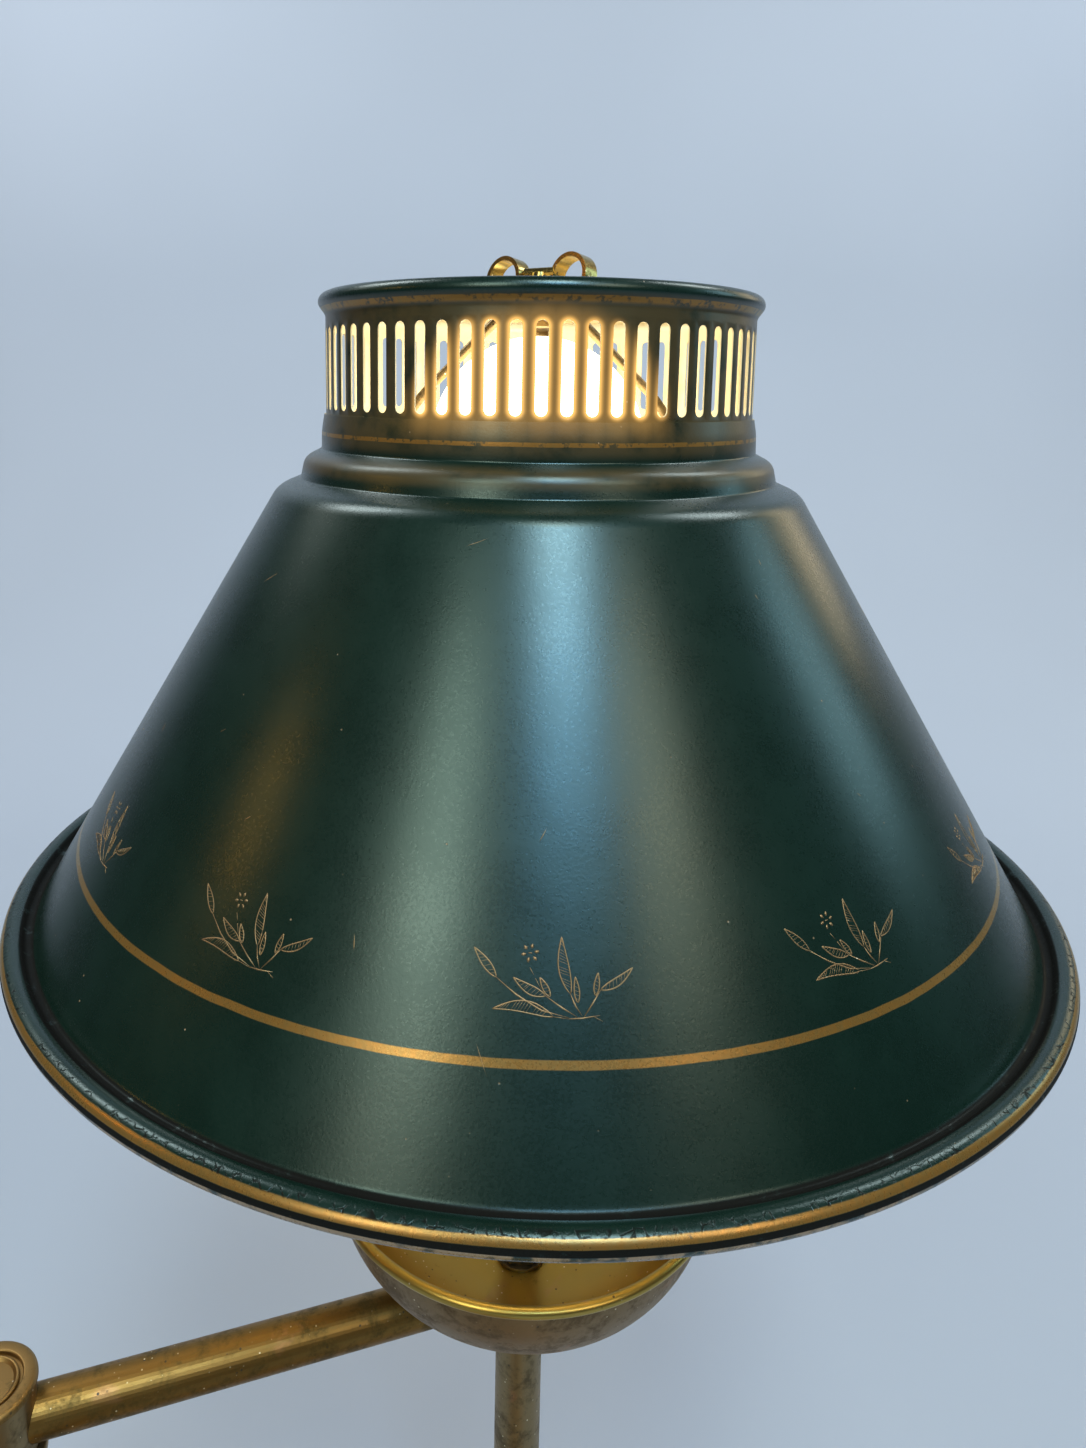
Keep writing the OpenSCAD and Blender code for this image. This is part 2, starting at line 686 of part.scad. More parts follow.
// Outline of the cup, from the flat of its foot out to the rolled lip
function cup_profile() =
    let (bowl_r = cup_r - 2 * lip_r + cup_wall, foot_r = cup_foot_r, rise = cup_depth - lip_r)
    concat(
        [[pipe_r + fit, 0], [foot_r, 0]],
        [for (i = [1:2 * curve_steps]) let (a = 90 * (1 - i / (2 * curve_steps)))
            [foot_r + (bowl_r - foot_r) * cos(a), rise * (1 - sin(a))]],
        arc([cup_r - lip_r, rise], lip_r - cup_wall, 180, -60, 2 * curve_steps));

module cup() color(brass) at_lamp() translate([0, 0, cup_z]) spun(cup_profile(), cup_wall);

module cup_washer() color(steel) at_lamp() translate([0, 0, cup_z + cup_wall])
    ring(cup_washer_r, pipe_r + fit, cup_washer_t);

module cup_nut() color(steel) at_lamp() translate([0, 0, cup_nut_z]) lock_nut();

module riser_tube() color(brass) at_lamp() translate([0, 0, riser_z]) tube(riser_r, riser_wall, riser_h);

module riser_washer() color(dark_brass) at_lamp() translate([0, 0, riser_z + riser_h]) difference() {
    union() {
        cylinder(r = riser_r + 0.8, h = riser_washer_t);
        translate([0, 0, -3]) cylinder(r = riser_r - riser_wall - fit, h = 3.5);
    }
    translate([0, 0, -3 - past]) cylinder(r = pipe_r + fit, h = 5 + 2 * past);
}

module harp_saddle() color(dark_brass) at_lamp() translate([0, 0, saddle_z])
    difference() {
        union() {
            translate([-leg_x, -saddle_half, 0]) cube([saddle_w, 2 * saddle_half, saddle_t]);
            cylinder(r = saddle_hub_r, h = saddle_t);
            for (s = [-1, 1]) translate([s * leg_x, 0, 0]) {
                cylinder(r = saddle_half + 0.5, h = saddle_t);
                cylinder(r = wire_r, h = saddle_t + post_h);
            }
        }
        translate([0, 0, -past]) cylinder(r = pipe_r + fit, h = saddle_t + 2 * past);
    }

module harp_sleeves() color(brass) at_lamp() for (s = [-1, 1]) translate([s * leg_x, 0, socket_z])
    ring(wire_r + fit + sleeve_wall, wire_r + fit, sleeve_h);

// Centre line of one side of the harp, from the foot of its leg to the boss:
// leg, outward bend, slant, bend back, upright, bow, and the slope up to the top
function harp_side() =
    let (k = leg_bend_r * (1 - cos(45)),
         bend_z = harp_foot_z + leg_rise,
         upright_z = bend_z + 2 * leg_bend_r * sin(45) + bow_x - leg_x - 2 * k,
         top = [top_flat, wire_top_z - top_bend_r],
         slope = top + top_bend_r * [sin(45), cos(45)],
         bow = [bow_x - bow_bend_r * (1 - cos(45)), 0],
         bow_z = slope.y - (bow.x - slope.x) - bow_bend_r * sin(45))
    concat(
        [[leg_x, harp_foot_z]],
        arc([leg_x + leg_bend_r, bend_z], leg_bend_r, 180, 135),
        arc([bow_x - leg_bend_r, upright_z], leg_bend_r, -45, 0),
        arc([bow_x - bow_bend_r, bow_z], bow_bend_r, 0, 45),
        arc(top, top_bend_r, 45, 90, 4));

// Direction of a path at its point i
function heading(path, i) =
    let (d = path[min(i + 1, len(path) - 1)] - path[max(i - 1, 0)]) d / norm(d);

// Round wire swept along a path in the XZ plane
module swept_wire(path, r, sides = 16) {
    last = len(path) - 1;
    points = [for (i = [0:last]) let (d = heading(path, i)) each [for (k = [0:sides - 1])
        let (a = 360 * k / sides)
        [path[i].x + r * cos(a) * d.y, r * sin(a), path[i].y - r * cos(a) * d.x]]];
    walls = [for (i = [0:last - 1], k = [0:sides - 1])
        let (n = (k + 1) % sides, low = i * sides, high = low + sides)
        each [[low + k, high + k, high + n], [low + k, high + n, low + n]]];
    foot = [for (k = [0:sides - 1]) k];
    end = [for (k = [sides - 1:-1:0]) last * sides + k];
    polyhedron(points, concat([foot], walls, [end]));
}

// One wire bent from leg to leg
module harp() color(dark_brass) at_lamp()
    swept_wire(concat(harp_side(), reverse([for (p = harp_side()) [-p.x, p.y]])), wire_r);

// Boss clamped on the top of the wire, with the stud for the finial
module harp_stud() color(brass) at_lamp() difference() {
    union() {
        translate([0, 0, harp_top_z - boss_top_h]) cylinder(r = boss_top_r, h = boss_top_h);
        translate([0, 0, harp_top_z - 1]) cylinder(r = stud_r, h = stud_h + 1);
    }
    translate([-boss_top_r - past, 0, wire_top_z]) rotate([0, 90, 0])
        cylinder(r = wire_r + fit, h = 2 * (boss_top_r + past));
}

// ---- socket and bulb ----

module socket_cap() color(brass) at_lamp() translate([0, 0, socket_z]) spun(concat(
    [[pipe_r + fit, 0], [8, 0]],
    cove([8, 1], [12, 4], 4),
    arc([socket_r - 5, 9], 5, -70, 0, 6),
    [[socket_r, socket_cap_h]]), socket_wall);

module socket_shell() color(brass) at_lamp() translate([0, 0, shell_low_z]) tube(shell_r, shell_wall, shell_h);

module socket_liner() color("tan") at_lamp() translate([0, 0, shell_low_z + 1])
    tube(liner_r, liner_wall, shell_h - 0.5);

module socket_base() color(black) at_lamp() translate([0, 0, insulator_z]) {
    cylinder(r = insulator_r, h = insulator_h);
    for (s = [-1, 1]) translate([s * (insulator_r - 5), 0, -2]) cylinder(r = 2.2, h = 3);
}

module screw_shell() color(brass) at_lamp() translate([0, 0, screw_z]) tube(screw_r, screw_wall, screw_h);

module center_contact() color(brass) at_lamp() translate([0, 0, screw_z]) cylinder(r = 3.5, h = contact_h);

// Rolled thread of the lamp cap, as rounded rings
module bulb_base() color(steel) at_lamp() translate([0, 0, bulb_base_z]) rotate_extrude() polygon(concat(
    [[0, 0], [4.5, 0], [5, tip_h], [thread_r - 2, tip_h + 1]],
    [for (i = [0:4])
        each arc([thread_r - thread_depth, tip_h + 2.6 + i * thread_pitch], thread_depth, -70, 70, 4)],
    [[thread_r - thread_depth, bulb_base_h], [0, bulb_base_h]]));

// Outline of the bulb, from its foot up the neck and over the globe
function bulb_profile() =
    let (blend_r = (bulb_r * cos(bulb_shoulder) - bulb_neck_r) / (1 - cos(bulb_shoulder)),
         mid = [0, bulb_mid_z],
         side_c = mid + (bulb_r + blend_r) * [cos(bulb_shoulder), -sin(bulb_shoulder)])
    concat(
        [[bulb_foot_r, bulb_base_z + bulb_base_h + fit], [bulb_neck_r - 1, bulb_base_z + bulb_base_h + 6]],
        arc(side_c, blend_r, 180, 180 - bulb_shoulder),
        arc(mid, bulb_r, -bulb_shoulder, 89.5, 3 * curve_steps));

module bulb_glass() color("white") at_lamp() spun(bulb_profile(), bulb_wall);

// Glass stem with the filament on its two supports
module bulb_mount() color("lightyellow") at_lamp() {
    foot_z = bulb_base_z + bulb_base_h + fit;
    translate([0, 0, foot_z]) cylinder(r = bulb_foot_r - bulb_wall - 0.8, h = 3);
    translate([0, 0, foot_z]) cylinder(r = mount_stem_r, h = filament_z - mount_drop - foot_z);
    for (s = [-1, 1]) translate([s * mount_stem_r / 2, 0, filament_z - mount_drop - 2])
        rotate([0, s * mount_lean, 0]) cylinder(r = 0.5, h = mount_wire_h);
    translate([0, 0, filament_z - 1.5]) rotate([90, 0, 0]) rotate_extrude(angle = 180)
        translate([filament_r, 0]) circle(r = 0.6);
}

// ---- shade ----

module shade_spider() color(dark_brass) at_lamp() translate([0, 0, harp_top_z]) difference() {
    union() {
        cylinder(r = spider_hub_r, h = spider_t);
        for (i = [0:spoke_count - 1]) rotate([0, 0, 90 + 360 * i / spoke_count]) spoke();
    }
    translate([0, 0, -spoke_drop]) cylinder(r = stud_r + 0.15, h = 2 * spoke_drop);
}

// Spoke that slopes from the hub down to a tab on the gallery wall
module spoke() {
    from = spider_hub_r - 2;
    to = gallery_r - sheet_t - 0.15;
    slope = atan2(spoke_drop, to - from);
    difference() {
        translate([from, -spoke_w / 2, 0]) rotate([0, slope, 0])
            cube([norm([to - from, spoke_drop]) + 2, spoke_w, spider_t]);
        translate([to, -spoke_w, -2 * spoke_drop]) cube([10, 2 * spoke_w, 3 * spoke_drop]);
    }
    translate([to - spider_t, -spoke_w / 2, -spoke_drop - spoke_tab_h + spider_t])
        cube([spider_t, spoke_w, spoke_tab_h]);
}

// Outline of the gallery, from its lower edge up to the hemmed top bead
function gallery_profile() =
    let (rise = bead_h * bead_swell, over = bead_h - rise, low_z = shade_top_z - bead_h)
    concat(
        [[gallery_r, seam_z - gallery_lap], [gallery_r, low_z]],
        [for (i = [1:curve_steps]) let (a = 180 * i / curve_steps)
            [gallery_r + bead_out * (1 - cos(a)) / 2, low_z + rise * i / curve_steps]],
        [for (i = [1:curve_steps]) let (a = 90 * i / curve_steps)
            [gallery_r + bead_out - (bead_out + hem_in) * (1 - cos(a)), low_z + rise + over * sin(a)]],
        arc([gallery_r - hem_in, shade_top_z - hem_r], hem_r, 90, 200, 5));

// A slot with round ends, cut straight out through the wall
module slot() translate([gallery_r - 6, 0, slot_low_z + slot_w / 2]) {
    translate([0, -slot_w / 2, 0]) cube([12, slot_w, slot_len - slot_w]);
    rotate([0, 90, 0]) cylinder(r = slot_w / 2, h = 12);
    translate([0, 0, slot_len - slot_w]) rotate([0, 90, 0]) cylinder(r = slot_w / 2, h = 12);
}

module shade_gallery() color(tole) at_lamp() difference() {
    spun(gallery_profile(), sheet_t);
    for (i = [0:slot_count - 1]) rotate([0, 0, -89.2 + 360 * i / slot_count]) slot();
}

// Corner i of the neck, counted down from the seam
function neck(i) = i == 0 ? [gallery_r + fit + sheet_t, seam_z]
    : neck(i - 1) + [neck_corners[i - 1][0], -neck_corners[i - 1][1]];

// Outline of the cone, from the rolled rim up the slope and the neck to the seam
function cone_profile() =
    let (last = len(neck_corners),
         shoulder = neck(last),
         rim = [rim_x, rim_z],
         groove = rim + (rim_r + groove_r) * [cos(groove_turn), sin(groove_turn)],
         reach = norm(groove - shoulder),
         lean = atan2(groove.y - shoulder.y, groove.x - shoulder.x),
         touch = lean - asin(groove_r / reach),
         slope_end = groove - groove_r * [cos(touch + 90), sin(touch + 90)])
    concat(
        arc(rim, rim_r, rim_end, groove_turn, 2 * curve_steps),
        arc(groove, groove_r, groove_turn - 180, touch - 90, 4),
        [slope_end],
        [for (i = [last:-1:1])
            each rounded(i == last ? slope_end : neck(i + 1), neck(i), neck(i - 1), neck_corners[i - 1][2])],
        [neck(0)]);

module shade_cone() color(tole) at_lamp() spun(cone_profile(), sheet_t);

// Finial: a hub on the stud, a neck, a bar across it, and a short open ring at each end of the bar
module finial() color(brass) at_lamp() translate([0, 0, finial_z]) rotate(finial_turn) difference() {
    union() {
        cylinder(r1 = finial_hub_r + 1, r2 = finial_hub_r, h = 1.5);
        translate([0, 0, 1.5]) cylinder(r = finial_hub_r, h = finial_hub_h - 2.5);
        translate([0, 0, finial_hub_h - 1]) cylinder(r1 = finial_hub_r, r2 = finial_hub_r - 2, h = 1);
        cylinder(r = finial_hub_r - 2, h = bar_up);
        translate([-bar_half, 0, bar_up]) rotate([0, 90, 0]) cylinder(r = bar_r, h = 2 * bar_half);
        for (s = [-1, 1]) translate([s * ring_gap / 2, 0, bar_up - ring_drop])
            rotate([0, 0, ring_turn]) rotate([90 - ring_tilt, 0, 0]) translate([0, 0, -ring_w / 2])
                tube(ring_d / 2, ring_wall, ring_w);
    }
    translate([0, 0, -past]) cylinder(r = stud_r + fit, h = finial_hub_h - 1.5 + past - 0.5);
}

felt_pad();
base_weight();
base_shell();
base_collar();
base_nut();
base_washer();
cord_bushing();
column_tube();
column_pipe();
column_lead();
column_seat();
column_thrust_washer();
column_spring_washer();
column_lock_nut();
column_barrel();
column_cap();
lower_arm_tube();
lower_arm_lead();
elbow_lower_barrel();
elbow_cap_nut();
elbow_pivot();
elbow_thrust_washer();
elbow_spring_washer();
elbow_lock_nut();
elbow_upper_barrel();
elbow_cap();
upper_arm_tube();
upper_arm_lead();
head_hub();
lamp_pipe();
stem_tube();
stem_nut();
switch_housing();
switch_plate();
switch_body();
switch_knob();
cup();
cup_washer();
cup_nut();
riser_tube();
riser_washer();
harp_saddle();
harp_sleeves();
harp();
harp_stud();
socket_cap();
socket_shell();
socket_liner();
socket_base();
screw_shell();
center_contact();
bulb_base();
bulb_glass();
bulb_mount();
shade_spider();
shade_gallery();
shade_cone();
finial();
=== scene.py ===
"""Dressed model of a bouillotte lamp on a double swing arm.

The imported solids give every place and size. The classes below rebuild the
pieces that show with finer forms, dress all of them with procedural finishes,
and set a plain studio round the lamp. Lengths are millimetres, except in
meshes and Geometry Nodes and for the lights and the paper, where they are metres.
"""

import json
import logging
import math
from dataclasses import dataclass, field
from enum import Enum
from functools import cached_property
from typing import Callable, ClassVar, Iterable, Sequence

import bmesh
import bpy
from bmesh.types import BMesh, BMVert
from bpy.types import Material, NodeSocket, NodeTree, Object
from mathutils import Matrix, Vector

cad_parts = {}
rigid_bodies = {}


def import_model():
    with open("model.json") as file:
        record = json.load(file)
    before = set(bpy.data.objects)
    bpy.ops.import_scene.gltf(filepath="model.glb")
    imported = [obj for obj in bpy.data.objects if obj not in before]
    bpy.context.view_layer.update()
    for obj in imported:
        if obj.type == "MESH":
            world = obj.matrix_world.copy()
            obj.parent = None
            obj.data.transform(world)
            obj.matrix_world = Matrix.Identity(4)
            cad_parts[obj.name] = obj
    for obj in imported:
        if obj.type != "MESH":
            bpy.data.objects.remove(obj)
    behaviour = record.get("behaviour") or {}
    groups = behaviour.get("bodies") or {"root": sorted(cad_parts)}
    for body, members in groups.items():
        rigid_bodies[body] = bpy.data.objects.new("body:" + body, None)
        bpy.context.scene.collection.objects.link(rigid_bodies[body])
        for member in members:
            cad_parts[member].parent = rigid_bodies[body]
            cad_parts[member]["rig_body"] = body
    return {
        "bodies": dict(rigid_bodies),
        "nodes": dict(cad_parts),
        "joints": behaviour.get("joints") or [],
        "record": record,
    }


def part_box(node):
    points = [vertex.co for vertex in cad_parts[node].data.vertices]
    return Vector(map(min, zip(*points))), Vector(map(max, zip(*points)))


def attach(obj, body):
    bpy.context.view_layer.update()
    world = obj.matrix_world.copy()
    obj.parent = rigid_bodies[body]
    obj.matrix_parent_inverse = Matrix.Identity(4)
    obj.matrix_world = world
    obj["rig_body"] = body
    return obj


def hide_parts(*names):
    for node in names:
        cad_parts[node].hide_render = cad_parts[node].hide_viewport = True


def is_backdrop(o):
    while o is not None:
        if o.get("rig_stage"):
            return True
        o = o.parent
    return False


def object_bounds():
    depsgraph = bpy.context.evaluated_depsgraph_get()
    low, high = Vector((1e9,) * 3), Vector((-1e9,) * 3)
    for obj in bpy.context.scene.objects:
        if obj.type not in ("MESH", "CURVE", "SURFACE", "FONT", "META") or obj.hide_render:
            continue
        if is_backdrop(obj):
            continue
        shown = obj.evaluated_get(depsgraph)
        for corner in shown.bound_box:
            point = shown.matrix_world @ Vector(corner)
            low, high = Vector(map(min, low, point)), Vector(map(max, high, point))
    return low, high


LOG = logging.getLogger("lamp")
MM = 0.001
Point = tuple[float, float]
Colour = tuple[float, float, float]


class Body(Enum):
    """Rigid bodies of the lamp."""

    STAND = "stand"
    LOWER_ARM = "lower_arm"
    UPPER_ARM = "upper_arm"
    KNOB = "knob"


# ------------------------------------------------------------------ node trees


class Nodes:
    """A node tree under construction."""

    def __init__(self, tree: NodeTree) -> None:
        """Take an empty tree."""
        self.tree = tree

    def node(
        self, kind: str, inputs: dict[int | str, object] | None = None,
        output: int | str = 0, **settings: object,
    ) -> NodeSocket:
        """Add a node.

        Args:
            kind: Blender's type of the node.
            inputs: Values or links of its sockets, by name or number.
            output: The socket to return.
            settings: Its properties, set before its sockets.

        Returns:
            The chosen output.
        """
        made = self.tree.nodes.new(kind)
        for key, value in settings.items():
            setattr(made, key, value)
        for key, value in (inputs or {}).items():
            self.feed(made.inputs[key], value)
        return made.outputs[output]

    def feed(self, socket: NodeSocket, value: object) -> None:
        """Link or set one input socket.

        Args:
            socket: The input.
            value: A value, a colour of three numbers, or an output to link.
        """
        if isinstance(value, Link):
            value = value.socket
        if isinstance(value, NodeSocket):
            self.tree.links.new(value, socket)
        elif isinstance(value, tuple) and socket.type == "RGBA":
            socket.default_value = (*value, 1.0)[:4]
        else:
            socket.default_value = value


def maths(operation: str, swapped: bool = False) -> Callable[..., "Link"]:
    """Method that adds a Math node.

    Args:
        operation: Name of the operation.
        swapped: Whether the value itself comes last, as in a reflected operator.

    Returns:
        The method, which takes the other operands and returns the node's result.
    """

    def method(self: "Link", *others: "Link | float") -> "Link":
        """Result of the operation."""
        values = (*others, self) if swapped else (self, *others)
        return self.shader.node("ShaderNodeMath", dict(enumerate(values)), operation=operation)

    return method


class Link:
    """A shader value that takes part in Python expressions."""

    __add__ = __radd__ = maths("ADD")
    __sub__ = maths("SUBTRACT")
    __rsub__ = maths("SUBTRACT", swapped=True)
    __mul__ = __rmul__ = maths("MULTIPLY")
    __pow__ = maths("POWER")
    most = maths("MAXIMUM")
    fraction = maths("FRACT")
    size = maths("ABSOLUTE")

    def __init__(self, shader: "Shader", socket: NodeSocket) -> None:
        """Wrap one output socket of a shader."""
        self.shader = shader
        self.socket = socket

    def ramp(self, low: float, high: float) -> "Link":
        """Smooth step between two levels.

        Args:
            low: Value that gives 0. It may be the larger of the two.
            high: Value that gives 1.

        Returns:
            A value from 0 to 1.
        """
        levels = {0: self, 1: min(low, high), 2: max(low, high)}
        step = self.shader.node("ShaderNodeMapRange", levels, interpolation_type="SMOOTHSTEP")
        return step if low < high else 1.0 - step

    def band(self, low: float, high: float, soft: float) -> "Link":
        """Mask that is 1 between two levels, with soft ends."""
        return self.ramp(low - soft, low + soft) * self.ramp(high + soft, high - soft)

    def about(self, level: float, swing: float) -> "Link":
        """Level that a value from 0 to 1 moves up and down by half of swing."""
        return level + (self - 0.5) * swing


class Shader(Nodes):
    """A material under construction."""

    def __init__(self, name: str) -> None:
        """Start an empty material."""
        self.material = bpy.data.materials.new(name)
        self.material.use_nodes = True
        super().__init__(self.material.node_tree)
        self.tree.nodes.clear()

    def node(self, kind: str, *given: object, **settings: object) -> Link:
        """Add a node as a value for expressions, with the arguments of Nodes.node."""
        return Link(self, super().node(kind, *given, **settings))

    def place(self, centre: Point = (0.0, 0.0)) -> Link:
        """Object coordinates in millimetres, counted from an upright axis."""
        here = self.node("ShaderNodeTexCoord", {}, "Object")
        inputs = {
            "Vector": here, "Location": (-centre[0], -centre[1], 0.0),
            "Scale": (1 / MM, 1 / MM, 1 / MM),
        }
        return self.node("ShaderNodeMapping", inputs, vector_type="POINT")

    def parts(self, vector: Link) -> tuple[Link, Link, Link]:
        """X, Y and Z of a vector."""
        outputs = self.node("ShaderNodeSeparateXYZ", {0: vector}).socket.node.outputs
        return tuple(Link(self, out) for out in outputs)

    def stretched(self, vector: Link, scale: tuple[float, float, float]) -> Link:
        """Vector scaled on its three axes."""
        return self.node("ShaderNodeMapping", {"Vector": vector, "Scale": scale})

    def noise(
        self, vector: Link, size: float, detail: float = 3.0, rough: float = 0.55,
        warp: float = 0.0,
    ) -> Link:
        """Noise whose features are about size millimetres across."""
        inputs = {
            "Vector": vector, "Scale": 1.0 / size, "Detail": detail,
            "Roughness": rough, "Distortion": warp,
        }
        return self.node("ShaderNodeTexNoise", inputs)

    def cells(self, vector: Link, scale: float, feature: str) -> Link:
        """Distance in a Voronoi pattern, to a cell's middle or to its edge."""
        inputs = {"Vector": vector, "Scale": scale}
        return self.node("ShaderNodeTexVoronoi", inputs, feature=feature)

    def specks(self, vector: Link, size: float, radius: float) -> Link:
        """Small round spots, one in each cell of size millimetres at most."""
        return self.cells(vector, 1.0 / size, "F1").ramp(radius, radius * 0.5)

    def mix(self, factor: Link | float, first: object, second: object) -> Link:
        """Blend of two colours."""
        return self.node("ShaderNodeMix", {0: factor, 6: first, 7: second}, 2, data_type="RGBA")

    def bump(
        self, height: Link, depth: float, below: Link | None = None, strength: float = 1.0
    ) -> Link:
        """Normal that follows a height.

        Args:
            height: Height map, about 0 to 1.
            depth: Depth of the relief in millimetres.
            below: Normal that this one adds to.
            strength: Share of the relief that shows.

        Returns:
            The normal.
        """
        inputs = {"Height": height, "Distance": depth * MM, "Strength": strength}
        if below is not None:
            inputs["Normal"] = below
        return self.node("ShaderNodeBump", inputs)

    def principled(self, **sockets: object) -> Link:
        """Principled surface, with its sockets named in words joined by underscores."""
        named = {key.replace("_", " "): value for key, value in sockets.items()}
        return self.node("ShaderNodeBsdfPrincipled", named)

    def done(self, surface: Link) -> Material:
        """Join the surface to the output and return the material."""
        output = self.tree.nodes.new("ShaderNodeOutputMaterial")
        self.tree.links.new(surface.socket, output.inputs[0])
        return self.material

    def surfaced(self, **sockets: object) -> Material:
        """Finish the material with one Principled surface."""
        return self.done(self.principled(**sockets))


# -------------------------------------------------------------------- finishes


@dataclass(frozen=True)
class Zone:
    """A band round the shade between two heights and two radii."""

    low: float
    high: float
    inner: float = 0.0
    soft: float = 0.12
    outer: float = 1000.0
    fade: float = 0.3

    def mask(self, radius: Link, height: Link) -> Link:
        """Where the zone is, from 0 to 1."""
        across = radius.band(self.inner, self.outer, self.fade)
        return height.band(self.low, self.high, self.soft) * across


@dataclass(frozen=True)
class SlotGlow:
    """Painted glow: warm emission on the paint round the slots in front of the bulb, standing in
    for the bulb's light that spills over their edges.
    """

    count: int
    start: float
    wall_r: float
    middle: float
    half: float
    width: float
    bulb_z: float
    reach: float = 41.0
    rim: float = 0.75
    near: Point = (2.2, -0.2)
    wide: Point = (8.5, 0.5)
    front: Point = (0.5, 0.6)
    colour: Colour = (1.4, 0.74, 0.18)
    halo: Colour = (0.24, 0.125, 0.028)

    def light(self, sh: Shader, x: Link, y: Link, z: Link) -> Link:
        """Colour of the painted glow on the wall.

        Args:
            sh: Shader that it is part of.
            x: Place across the lamp, from its axis.
            y: Place along the lamp, from its axis.
            z: Height.

        Returns:
            The colour, black away from the slots.
        """
        turn = sh.node("ShaderNodeMath", {0: y, 1: x}, operation="ARCTAN2")
        cells = turn * (self.count / (2 * math.pi)) + (0.5 - self.start * self.count / 360)
        across = (cells.fraction() - 0.5) * (2 * math.pi * self.wall_r / self.count)
        above = ((z - self.middle).size() - (self.half - self.width / 2)).most(0.0)
        away = (across * across + above * above) ** 0.5 - self.width / 2
        near = away.ramp(*self.near)
        drop = z - self.bulb_z
        disc = ((x * x + drop * drop) ** 0.5).ramp(self.reach, self.reach * self.rim)
        front = (y * (-1 / self.wall_r)).ramp(*self.front)
        spill = sh.mix(near * near, self.halo, self.colour)
        return sh.mix(away.ramp(*self.wide) * disc * front, (0.0, 0.0, 0.0), spill)


